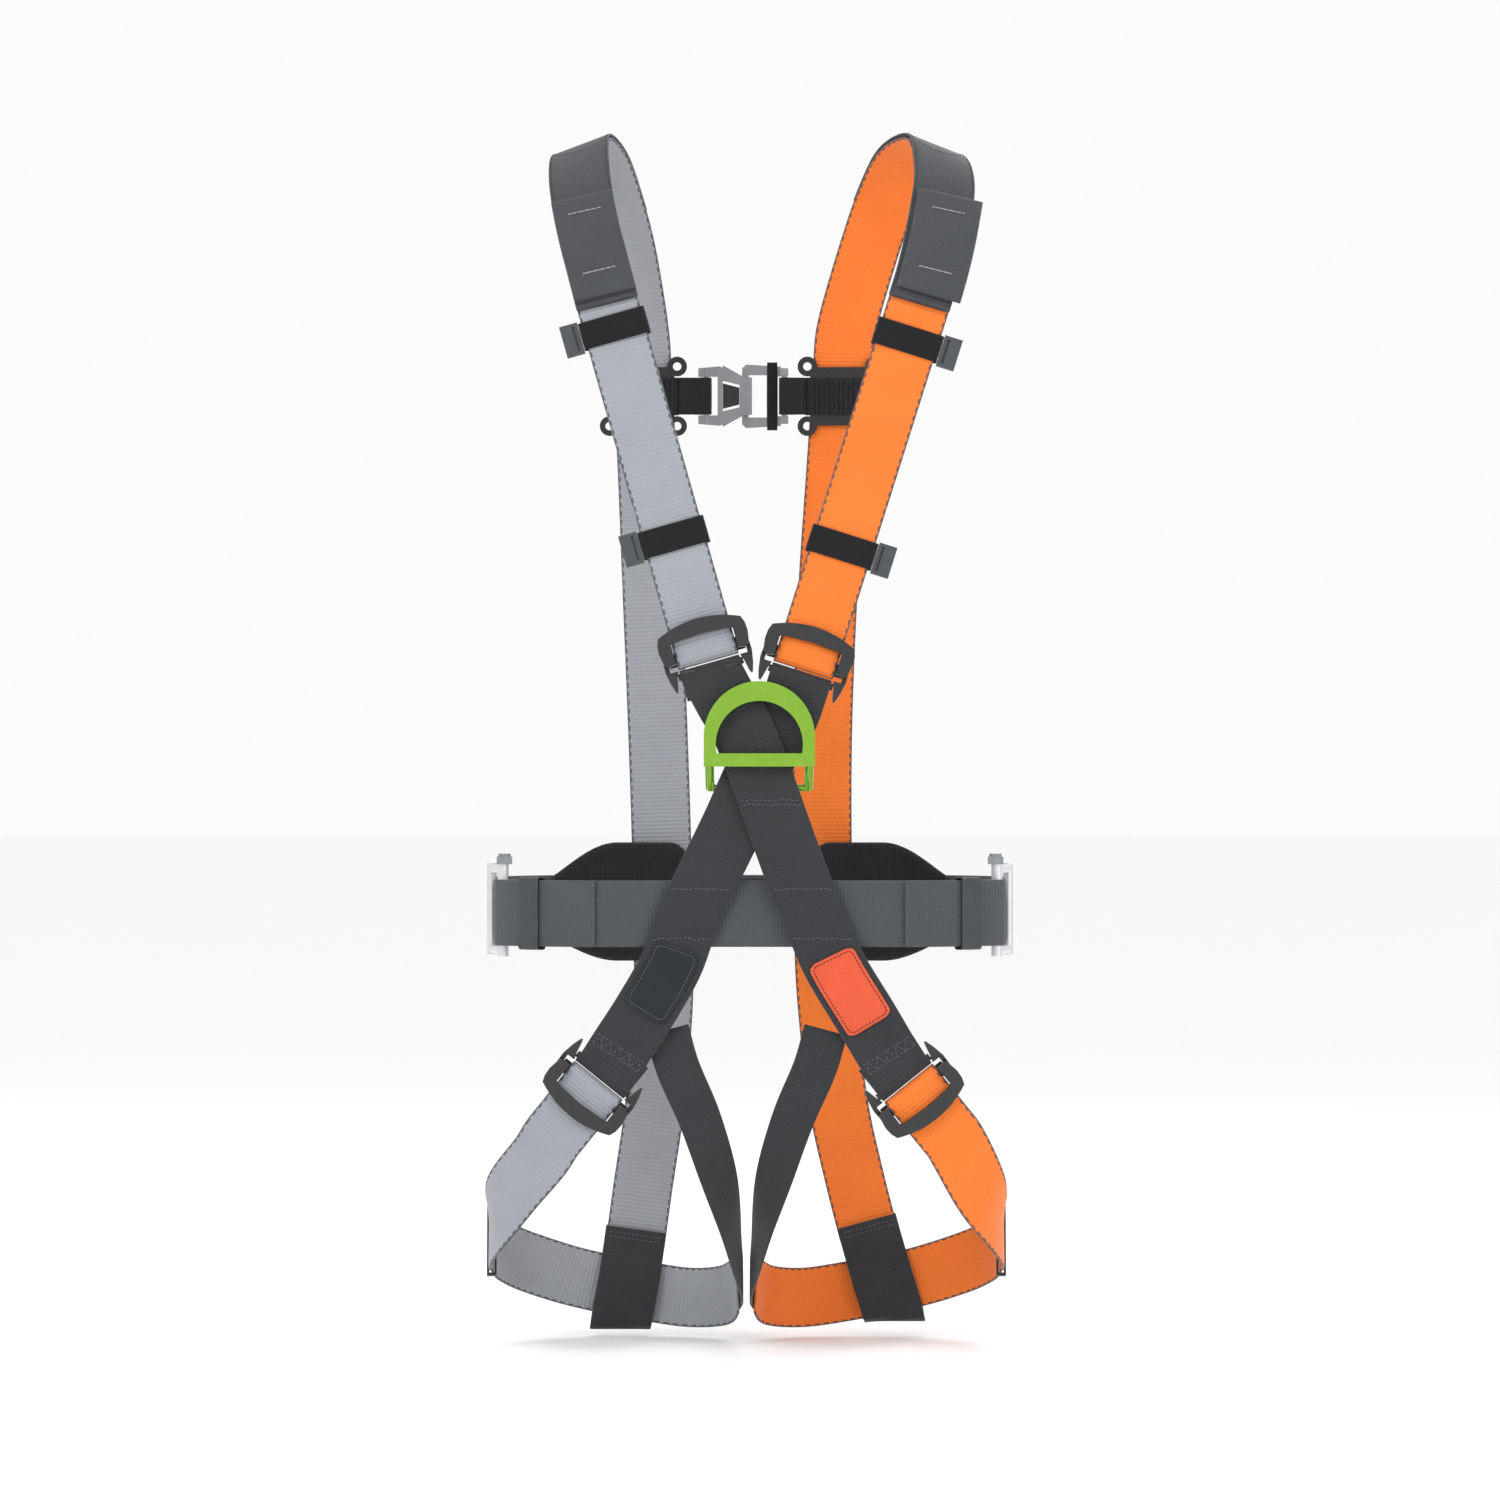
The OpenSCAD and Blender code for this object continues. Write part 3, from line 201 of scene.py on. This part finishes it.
# ------------------------------------------------------------ mesh builders
def make(name, verts, faces, uvs, mat, body, nodes=(), smooth_sh=True):
    me = bpy.data.meshes.new(name); me.from_pydata([tuple(np.asarray(v)*MM) for v in verts], [], faces); me.update()
    if uvs is not None:
        L = me.uv_layers.new(name="UVMap")
        for lp in me.loops: L.data[lp.index].uv = (uvs[lp.vertex_index][0]*MM, uvs[lp.vertex_index][1]*MM)
    bm = bmesh.new(); bm.from_mesh(me); bmesh.ops.recalc_face_normals(bm, faces=bm.faces); bm.to_mesh(me); bm.free()
    for p in me.polygons: p.use_smooth = smooth_sh
    me.materials.append(MT[mat]); o = bpy.data.objects.new(name, me); bpy.context.scene.collection.objects.link(o)
    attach(o, body)
    if nodes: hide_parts(*nodes)
    return o
def frames(q):
    P = np.array([r[:3] for r in q]); N = np.array([r[3:] for r in q]); T = np.zeros_like(P)
    for i in range(len(q)): T[i] = unit(P[min(i+1, len(q)-1)] - P[max(i-1, 0)])
    W = np.array([unit(np.cross(N[i], T[i])) for i in range(len(q))]); U = np.cross(T, W)
    s = np.concatenate([[0], np.cumsum(np.linalg.norm(np.diff(P, axis=0), axis=1))]); return P, T, W, U, s
def up(q, m=3):
    q = [np.array(r, float) for r in q]; out = []
    for i in range(len(q)-1):
        d = np.linalg.norm(q[i+1][:3] - q[i][:3]); k_ = max(1, min(12, int(round(d/2.5))))
        for k in range(k_): out.append(cr1(q[max(i-1, 0)], q[i], q[i+1], q[min(i+2, len(q)-1)], k/k_) if m else q[i])
    return out + [q[-1]]
def section(w, t):
    """Flat oval section of a webbing: (across, outward, uv across)."""
    h = t/2; e = min(.9, h*.9); xs = np.linspace(-w/2+e, w/2-e, 10)
    ridge = lambda x: -0.10 if abs(abs(x) - (w/2-3.2)) < 1.2 else 0
    top = [(x, h+ridge(x), x) for x in xs]; bot = [(x, -h-ridge(x), x) for x in xs[::-1]]
    return top + [(w/2-e*.3, h*.7, w/2-e*.3), (w/2, 0, w/2), (w/2-e*.3, -h*.7, w/2-e*.3)] + bot + [(-w/2+e*.3, -h*.7, -w/2+e*.3), (-w/2, 0, -w/2), (-w/2+e*.3, h*.7, -w/2+e*.3)]
def ribbon(name, q, w, t, mat, body="harness", nodes=(), dense=True, closed=False, wfun=None, tfun=None):
    q = up(q) if dense else q; P, T, W, U, s = frames(q); sec = section(w, t); K = len(sec); n = len(q); vs, uv, fs = [], [], []
    for i in range(n):
        kw = wfun(s[i], s[-1]) if wfun else 1; kt = tfun(s[i], s[-1]) if tfun else 1
        for a, b, c in sec: vs.append(P[i] + W[i]*a*kw + U[i]*b*kt); uv.append((c, s[i]))
    for i in range(n if closed else n-1):
        for k in range(K): j = (i+1) % n; fs.append((i*K+k, i*K+(k+1) % K, j*K+(k+1) % K, j*K+k))
    if not closed: fs += [tuple(range(K))[::-1], tuple((n-1)*K+k for k in range(K))]
    return make(name, vs, fs, uv, mat, body, nodes)
def thread(name, runs, mat, body="harness", r=.42, gap=.28, pitch=3.4):
    """Lockstitches along polylines: runs is a list of [(point, normal), ...]. Each stitch is a plump thread lying on the cloth."""
    vs, fs, uv = [], [], []; A, Bn = 6, 5
    for run in runs:
        Pn = np.array([r_[0] for r_ in run]); Nn = np.array([r_[1] for r_ in run]); L = np.concatenate([[0], np.cumsum(np.linalg.norm(np.diff(Pn, axis=0), axis=1))])
        if L[-1] < 1: continue
        cnt = max(1, int(round(L[-1]/pitch)))
        for k in range(cnt):
            a, b = L[-1]*(k+gap/2)/cnt, L[-1]*(k+1-gap/2)/cnt
            pa = np.array([np.interp(a, L, Pn[:, i]) for i in range(3)]); pb = np.array([np.interp(b, L, Pn[:, i]) for i in range(3)]); nn = unit([np.interp((a+b)/2, L, Nn[:, i]) for i in range(3)])
            d = unit(pb-pa); sd = np.cross(nn, d); base = len(vs)
            for i in range(Bn):
                f = i/(Bn-1); rr = r*(math.sin(math.pi*(.12+.76*f)))**.5; c = pa*(1-f)+pb*f
                for j in range(A): th = 2*math.pi*j/A; vs.append(c + sd*math.cos(th)*rr + nn*(math.sin(th)*rr*.62+.12)); uv.append((j*.3, f*3))
            for i in range(Bn-1):
                for j in range(A): fs.append((base+i*A+j, base+i*A+(j+1) % A, base+(i+1)*A+(j+1) % A, base+(i+1)*A+j))
            fs += [tuple(base+j for j in range(A))[::-1], tuple(base+(Bn-1)*A+j for j in range(A))]
    return make(name, vs, fs, uv, mat, body, ())
def on(q, s0, u, off):
    P, T, W, U, s = q; g = lambda A: np.array([np.interp(s0, s, A[:, i]) for i in range(3)])
    Wn, Un = unit(g(W)), unit(g(U)); return g(P) + Wn*u + Un*off, Un
def flat_z(q, z, us, off, smin=0):
    """A level line at height z across a strap."""
    P, T, W, U, s = q; out = []
    for u in us:
        ok = [(abs(P[i][2] + W[i][2]*u - z), s[i]) for i in range(len(s)) if s[i] > smin]; out.append(on(q, min(ok)[1], u, off))
    return out
def tack(q, s0, u0, u1, off, wid=2.2, n=16):
    """Bar tack: close zigzag across a strap."""
    return [on(q, s0 + (wid/2 if k % 2 else -wid/2), u0 + (u1-u0)*k/n, off) for k in range(n+1)]
def loop(name, o, d, n, y0, y1, hx, z0, z1, wall, mat, body, nodes, cr=2.0):
    """Closed band round a strap, rounded corners, open along the strap. Cavity |x| < hx, z0..z1."""
    m = wall/2; path = []; X, Z0, Z1 = hx+m, z0-m, z1+m; r = min(cr, (Z1-Z0)/2-.05)
    for cx, cz, a0 in ((X-r, Z1-r, 0), (-X+r, Z1-r, 90), (-X+r, Z0+r, 180), (X-r, Z0+r, 270)):
        for k in range(7): a = math.radians(a0 + 15*k); path.append((cx + r*math.cos(a), cz + r*math.sin(a), math.cos(a), math.sin(a)))
    z = outn(d, n); x = np.cross(d, z); w = y1-y0; q = []
    full = []
    for i in range(len(path)):
        a, b = path[i], path[(i+1) % len(path)]; L = math.hypot(a[0]-b[0], a[1]-b[1]); kk = max(1, int(L/2.5))
        for k in range(kk): f = k/kk; full.append([a[j]*(1-f)+b[j]*f for j in range(4)])
    for a in full: q.append(np.concatenate([at(o, d, n, (a[0], (y0+y1)/2, a[1])), x*a[2] + z*a[3]]))
    P = np.array([r_[:3] for r_ in q]); nn = len(q); T = np.array([unit(P[(i+1) % nn]-P[i-1]) for i in range(nn)]); N = np.array([unit(r_[3:]) for r_ in q])
    sec = section(w, wall*.92); K = len(sec); s = np.concatenate([[0], np.cumsum(np.linalg.norm(np.diff(P, axis=0), axis=1))]); vs, uv, fs = [], [], []
    for i in range(nn):
        for a, b, c in sec: vs.append(P[i] + d*a + N[i]*b); uv.append((c, s[i]))
    for i in range(nn):
        for k in range(K): j = (i+1) % nn; fs.append((i*K+k, i*K+(k+1) % K, j*K+(k+1) % K, j*K+k))
    return make(name, vs, fs, uv, mat, body, nodes)

# ------------------------------------------------------------ webbing
T_ = 1.85
ribbon("vis_main_left", mainL, 45, T_, "webbing_grey", nodes=["main_strap_left"]); ribbon("vis_main_right", mainR, 45, T_, "webbing_orange", nodes=["main_strap_right"])
for sd, sh, w2 in (("left", shl, 46), ("right", shr, 48)):
    ribbon("vis_sleeve_"+sd, shifted(sl(sh, 7, 44), 3.0), 46, 1.5, "webbing_sleeve", nodes=["shoulder_sleeve_"+sd])
    pk = shifted(sl(sh, 8, 21), 7.0) if sd == "left" else shifted([np.array([r[0]+5, *r[1:]]) for r in sl(sh, 8, 21)], 7.8)
    ribbon("vis_pocket_"+sd, pk, w2, 4.2, "webbing_sleeve", nodes=["lanyard_pocket_"+sd], tfun=lambda s, L: .42 + .58*min(1, abs(math.sin(math.pi*min(1, max(0, s/L))))**.45 * (1 - .45*math.exp(-((s/L-.22)/.05)**2) - .45*math.exp(-((s/L-.82)/.05)**2))))
    fr = frames(up(pk)); L = fr[4][-1]
    thread("vis_pocket_tacks_"+sd, [tack(fr, L*.22, -12, 12, 1.6, 1.3, 22), tack(fr, L*.82, -12, 12, 1.6, 1.3, 22)], "thread_light", r=.5, gap=.05, pitch=1.4)
    ss = frames(up(shifted(sl(sh, 7, 44), 3.0)))
    thread("vis_sleeve_seam_"+sd, [[on(ss, s_, u_, .8) for s_ in np.linspace(2, ss[4][-1]-2, 90)] for u_ in (-21.3, 21.3)], "thread_dark", r=.35)
    thread("vis_sleeve_arc_"+sd, [[on(ss, ss[4][-1]*.60 - 9*math.cos(u_/20*math.pi/2), u_, .8) for u_ in np.linspace(-18, 18, 20)]], "thread_mid", r=.38)
ribbon("vis_cross_a", crossA, 45, T_, "webbing_dark", nodes=["cross_strap_a"]); ribbon("vis_cross_b", crossB, 45, T_, "webbing_dark", nodes=["cross_strap_b"])
ribbon("vis_leg_left", legL, 45, T_, "webbing_grey", nodes=["leg_strap_left"]); ribbon("vis_leg_right", legR, 45, T_, "webbing_orange", nodes=["leg_strap_right"])
ribbon("vis_crotch_left", crotchL, 32, T_, "webbing_dark", nodes=["crotch_strap_left"]); ribbon("vis_crotch_right", crotchR, 32, T_, "webbing_dark", nodes=["crotch_strap_right"])
ribbon("vis_end_loop_left", smooth(LOOPL, 4), 46, T_, "webbing_dark", nodes=["end_loop_left"]); ribbon("vis_end_loop_right", smooth(LOOPR, 4), 46, T_, "webbing_dark", nodes=["end_loop_right"])
ribbon("vis_belt_front", frontPath, 48, T_, "webbing_belt", nodes=["belt_front"]); ribbon("vis_belt_rear", rearPath, 48, T_, "webbing_belt", nodes=["belt_rear"])

# stitching on the straps
fa, fb = frames(up(crossA)), frames(up(crossB)); us = np.linspace(-20, 20, 15)
thread("vis_stitch_a", [flat_z(fa, z, us, .95, 40) for z in (82, 79, 18, -18)] + [[on(fa, s_, u_, .95) for u_ in np.linspace(-20, 20, 12)] for s_ in ()]
  + [[on(fa, fa[4][-1]-s_, u_, .95) for u_ in np.linspace(-20, 20, 12)] for s_ in (52, 60)] + [[on(fa, fa[4][-1]-52-8*(k % 2), u_, .95) for k, u_ in enumerate(np.linspace(-20, 20, 11))]], "thread_mid", r=.34)
thread("vis_stitch_b", [flat_z(fb, z, us, .95, 150) for z in (18, -18)] + [[on(fb, fb[4][-1]-s_, u_, .95) for u_ in np.linspace(-20, 20, 12)] for s_ in (52, 60)] + [[on(fb, fb[4][-1]-52-8*(k % 2), u_, .95) for k, u_ in enumerate(np.linspace(-20, 20, 11))]], "thread_mid", r=.34)
for nm, lp in (("left", LOOPL), ("right", LOOPR)):
    fl = frames(up(smooth(lp, 4))); L = fl[4][-1]
    thread("vis_stitch_loop_"+nm, [[on(fl, s_, u_, .95) for u_ in np.linspace(-20, 20, 12)] for s_ in (4.5, 8, L-8, L-4.5)], "thread_mid", r=.34)
fbelt = frames(up(frontPath)); Lb = fbelt[4][-1]
for k, nm in ((0, "right"), (1, "left")):
    ss_ = lambda s_: s_ if k == 0 else Lb - s_
    thread("vis_stitch_belt_"+nm, [[on(fbelt, ss_(s_), u_, .95) for u_ in np.linspace(-9, 9, 16)] for s_ in (16, 17.5, 24, 25.5)] + [[on(fbelt, ss_(1.6), u_, .95) for u_ in np.linspace(-22, 22, 14)]], "thread_mid", r=.36)

# patches: woven, blank, with a raised stitched border
def patch(name, q, i0, i1, off, w, t, mat, node, thr):
    pq = shifted(sl(q, i0, i1), off); P = frames(up(pq)); L = P[4][-1]; R = 5.0
    wf = lambda s, L_: (1 - (1 - math.sqrt(max(0, 1 - (1 - min(1, min(s, L_-s)/R))**2)))*R*2/w)
    ribbon(name, pq, w, t, mat, nodes=[node], wfun=wf); e = 2.3; pts = []
    for u_ in np.linspace(-w/2+6, w/2-6, 8): pts.append((e, u_))
    for a in range(1, 6): a_ = math.radians(18*a); pts.append((e+3.7-3.7*math.cos(a_), w/2-6+3.7*math.sin(a_)))
    for s_ in np.linspace(6, L-6, 12): pts.append((s_, w/2-e))
    for a in range(1, 6): a_ = math.radians(18*a); pts.append((L-6+3.7*math.sin(a_), w/2-6+3.7*math.cos(a_)))
    for u_ in np.linspace(w/2-6, -w/2+6, 8): pts.append((L-e, u_))
    for a in range(1, 6): a_ = math.radians(18*a); pts.append((L-e-3.7+3.7*math.cos(a_), -w/2+6-3.7*math.sin(a_)))
    for s_ in np.linspace(L-6, 6, 12): pts.append((s_, -w/2+e))
    for a in range(1, 6): a_ = math.radians(18*a); pts.append((6-3.7*math.sin(a_), -w/2+6-3.7*math.cos(a_)))
    pts.append(pts[0]); thread(name+"_border", [[on(P, a, b, t/2) for a, b in pts]], thr, r=.36, pitch=2.6)
patch("vis_patch_black", crossB, 46, 53, 2.2, 34, 1.2, "patch_black", "blank_patch", "thread_mid")
patch("vis_patch_orange", crossA, 47, 54, 2.1, 36, .95, "patch_orange", "orange_patch", "thread_dark")

# lumbar pad: foam under spacer mesh, bound edge, quilted seam
def lobe(x): a = abs(x); return 22 if a < 25 else 22+27*math.sin(math.radians((a-25)/35*90))**2 if a < 60 else 49 if a < 100 else 24+25*math.cos(math.radians(min(90, (a-100)/48*90)))**1.1
def under(x): a = abs(x); return 22 if a < 25 else 22+19*math.sin(math.radians((a-25)/45*90))**2 if a < 70 else 41 if a < 100 else 24+17*math.cos(math.radians(min(90, (a-100)/48*90)))**1.1
base = [[arc_x+80*math.cos(math.radians(a)), cb+80*math.sin(math.radians(a)), 0, math.cos(math.radians(a)), math.sin(math.radians(a)), 0] for a in range(60, 91, 3)] + [[x, ring_b, 0, 0, 1, 0] for x in range(106, -107, -4)] + [[-arc_x+80*math.cos(math.radians(a)), cb+80*math.sin(math.radians(a)), 0, math.cos(math.radians(a)), math.sin(math.radians(a)), 0] for a in range(90, 121, 3)]
pp = up(shifted([np.array(r, float) for r in base], -6.0)); Pp, Tp, Wp, Up, sp_ = frames(pp); R_ = 26; vs, fs, uv = [], [], []
for side in (1, -1):
    for i in range(len(pp)):
        x = Pp[i][0]; hi, lo = lobe(x)-.3, -under(x)+.3
        for j in range(R_+1):
            f = j/R_; z = lo+(hi-lo)*f; ed = min(z-lo, hi-z, sp_[i], sp_[-1]-sp_[i]); th = .9 + 3.4*(1-math.exp(-max(0, ed)/3.2)) - 1.1*math.exp(-((ed-9)/1.3)**2)
            vs.append(Pp[i] + unit(pp[i][3:])*side*min(4.4, th) + V(0, 0, z)); uv.append((sp_[i], z))
NV = len(pp)*(R_+1)
for b in (0, NV):
    for i in range(len(pp)-1):
        for j in range(R_): a = b+i*(R_+1)+j; fs.append((a, a+1, a+R_+2, a+R_+1))
ring = [i*(R_+1) for i in range(len(pp))] + [(len(pp)-1)*(R_+1)+j for j in range(1, R_+1)] + [i*(R_+1)+R_ for i in range(len(pp)-2, -1, -1)] + [j for j in range(R_-1, 0, -1)]
for k in range(len(ring)): a, b = ring[k], ring[(k+1) % len(ring)]; fs.append((a, b, b+NV, a+NV))
pad = make("vis_lumbar_pad", vs, fs, uv, "pad_fabric", "harness", ["lumbar_pad"])

# shoulder keepers, belt keepers
kz0 = wrap_r-web_t-lay_gap-.3-1-.7; kz1 = wrap_r+1.7
for sd, o, d in (("left", OSL, dSL), ("right", OSR, dSR)):
    for lv, y in (("upper", 235), ("lower", 76)):
        loop(f"vis_keeper_{sd}_{lv}", o, d, F, y, y+20, 23.7, kz0, kz1, 1.3, "elastic_black", f"keeper_{sd}_{lv}", [f"keeper_band_{sd}_{lv}"])
for sd, s_ in (("left", -1), ("right", 1)):
    a = math.radians(53); nr = V(s_*math.cos(a), -math.sin(a), 0); tg = unit(np.cross(nr, V(0, 0, 1)))
    loop("vis_belt_keeper_"+sd, V(s_*arc_x, cf, 0)+nr*80, tg, nr, -9, 9, 25.4, -3.9, 3.9, 1.1, "rubber_belt", "belt_slide_"+sd, ["belt_keeper_"+sd])

# rear chest strap: ribbed webbing wrapped round the straps and folded on the buckle bars
cy, cz = 106.2, 385.5; wy0 = cy-7.2; CLX, CRX, hx_, fx_ = -80.5, 68.8, -33., 26.; up_ = V(0, 0, 1)
for sd, cx, bar, sg in (("left", CLX, hx_, 1), ("right", CRX, fx_, -1)):
    loop("vis_chest_wrap_"+sd, V(cx, wy0+6.7, cz), up_, F, -14, 14, 25.8, -4.7, 4.7, 1.7, "webbing_black", "chest", ["chest_web_"+sd], 2.5)
    q = [[cx+sg*(26.7+.4), wy0+1, cz, 0, -1, 0], [bar-sg*12, wy0+1, cz, 0, -1, 0], [bar-sg*7, wy0+.2, cz, 0, -1, 0], [bar-sg*3, wy0-1.9, cz, -sg*.2, -1, 0]]
    for k in range(9): t = math.radians(-90+22.5*k); q.append([bar+sg*3.3*math.cos(t), wy0+1+3.3*math.sin(t), cz, sg*math.cos(t), math.sin(t), 0])
    q += [[bar-sg*3, wy0+3.6, cz, 0, 1, 0], [bar-sg*9, wy0+3.4, cz, 0, 1, 0]]
    o = ribbon("vis_chest_fold_"+sd, q, 28, 1.8, "webbing_black", "chest"); ff = frames(up(q))
    thread("vis_chest_stitch_"+sd, [[on(ff, s_, u_, .95) for u_ in np.linspace(-12, 12, 10)] for s_ in (3, 5)], "thread_dark", "chest", r=.4)
for sd, cx in (("left", CLX), ("right", CRX)):
    thread("vis_chest_ribs_"+sd, [[(V(cx+x_, wy0-.12, cz+z_), F) for z_ in np.linspace(-12.4, 12.4, 8)] for x_ in np.linspace(-22, 22, 13)], "webbing_black", "chest", r=.85, gap=.02, pitch=8.2)
loop("vis_chest_stop", V(16.8, wy0+1+4.0, cz), V(1, 0, 0), F, -3.9, 3.9, 24.6, -1.8, 1.8, 1.2, "elastic_black", "chest", ["chest_stop"], 1.4)

# ------------------------------------------------------------ hard pieces: softened edges and their own finishes
def carry(name, mat, width, seg=3):
    o = NODES[name]; o.data.materials.clear(); o.data.materials.append(MT[mat])
    if width:
        b = o.modifiers.new("edge", "BEVEL"); b.width = width*MM; b.segments = seg; b.limit_method = "ANGLE"; b.angle_limit = math.radians(32); b.use_clamp_overlap = True
    for p in o.data.polygons: p.use_smooth = True
    w = o.modifiers.new("wn", "WEIGHTED_NORMAL"); w.keep_sharp = False; return o
for b in ("shoulder_left", "shoulder_right", "leg_left", "leg_right"): carry("buckle_frame_"+b, "buckle_black", .6); carry("buckle_lever_"+b, "buckle_black", .8)
for k in ("left_upper", "left_lower", "right_upper", "right_lower"): carry("keeper_clip_"+k, "plastic_grey", 1.6)
for sd in ("left", "right"):
    carry("chest_plate_"+sd, "plate_black", .5); carry("leg_keeper_"+sd, "plate_black", .5); carry("side_ring_"+sd, "steel_silver", .4); carry("ring_head_"+sd, "steel_grey", .9)
carry("chest_hook", "steel_grey", .35); carry("chest_hook_tongue", "plate_black", .3); carry("chest_frame", "steel_grey", .35); carry("sternal_ring", "ring_green", 1.9, 4)

# ------------------------------------------------------------ studio
def quad(name, c, col):
    me = bpy.data.meshes.new(name); me.from_pydata(c, [], [(0, 1, 2, 3)]); g = G(name); P = g.n("ShaderNodeTexCoord").outputs["Object"]
    g.sp(Base_Color=g.mix(g.M("MULTIPLY", g.noise(P, 3, 2.0), .04), col, (.8, .8, .8, 1)), Roughness=.9, Specular_IOR_Level=.1); me.materials.append(g.m)
    o = bpy.data.objects.new(name, me); bpy.context.scene.collection.objects.link(o); return o
zf = -.3245; quad("floor", [(-30, -30, zf), (30, -30, zf), (30, 30, zf), (-30, 30, zf)], (.97, .97, .97, 1))
w = bpy.data.worlds.new("studio"); bpy.context.scene.world = w; w.use_nodes = True; bg = w.node_tree.nodes["Background"]; bg.inputs[0].default_value = (1, 1, 1, 1); bg.inputs[1].default_value = .97
def area(name, loc, to, size, power):
    l = bpy.data.lights.new(name, "AREA"); l.shape = "SQUARE"; l.size = size; l.energy = power; o = bpy.data.objects.new(name, l); o.location = loc
    o.rotation_euler = (Vector(to)-Vector(loc)).to_track_quat("-Z", "Y").to_euler(); bpy.context.scene.collection.objects.link(o)
area("key", (-1.6, -2.6, 2.2), (0, 0, .15), 1.2, 38); area("fill", (2.2, -2.2, .9), (0, 0, .1), 1.6, 16); area("rim", (.6, 2.2, 1.8), (0, 0, .2), 1.2, 18)
cam = bpy.data.cameras.new("cam"); co = bpy.data.objects.new("cam", cam); co.location = (0, -5, .1184); co.rotation_euler = (math.radians(90), 0, 0); cam.sensor_width = 36; cam.lens = 36*5/1.11; cam.clip_end = 100
bpy.context.scene.collection.objects.link(co); bpy.context.scene.camera = co
bpy.context.scene.view_settings.view_transform = "Standard"
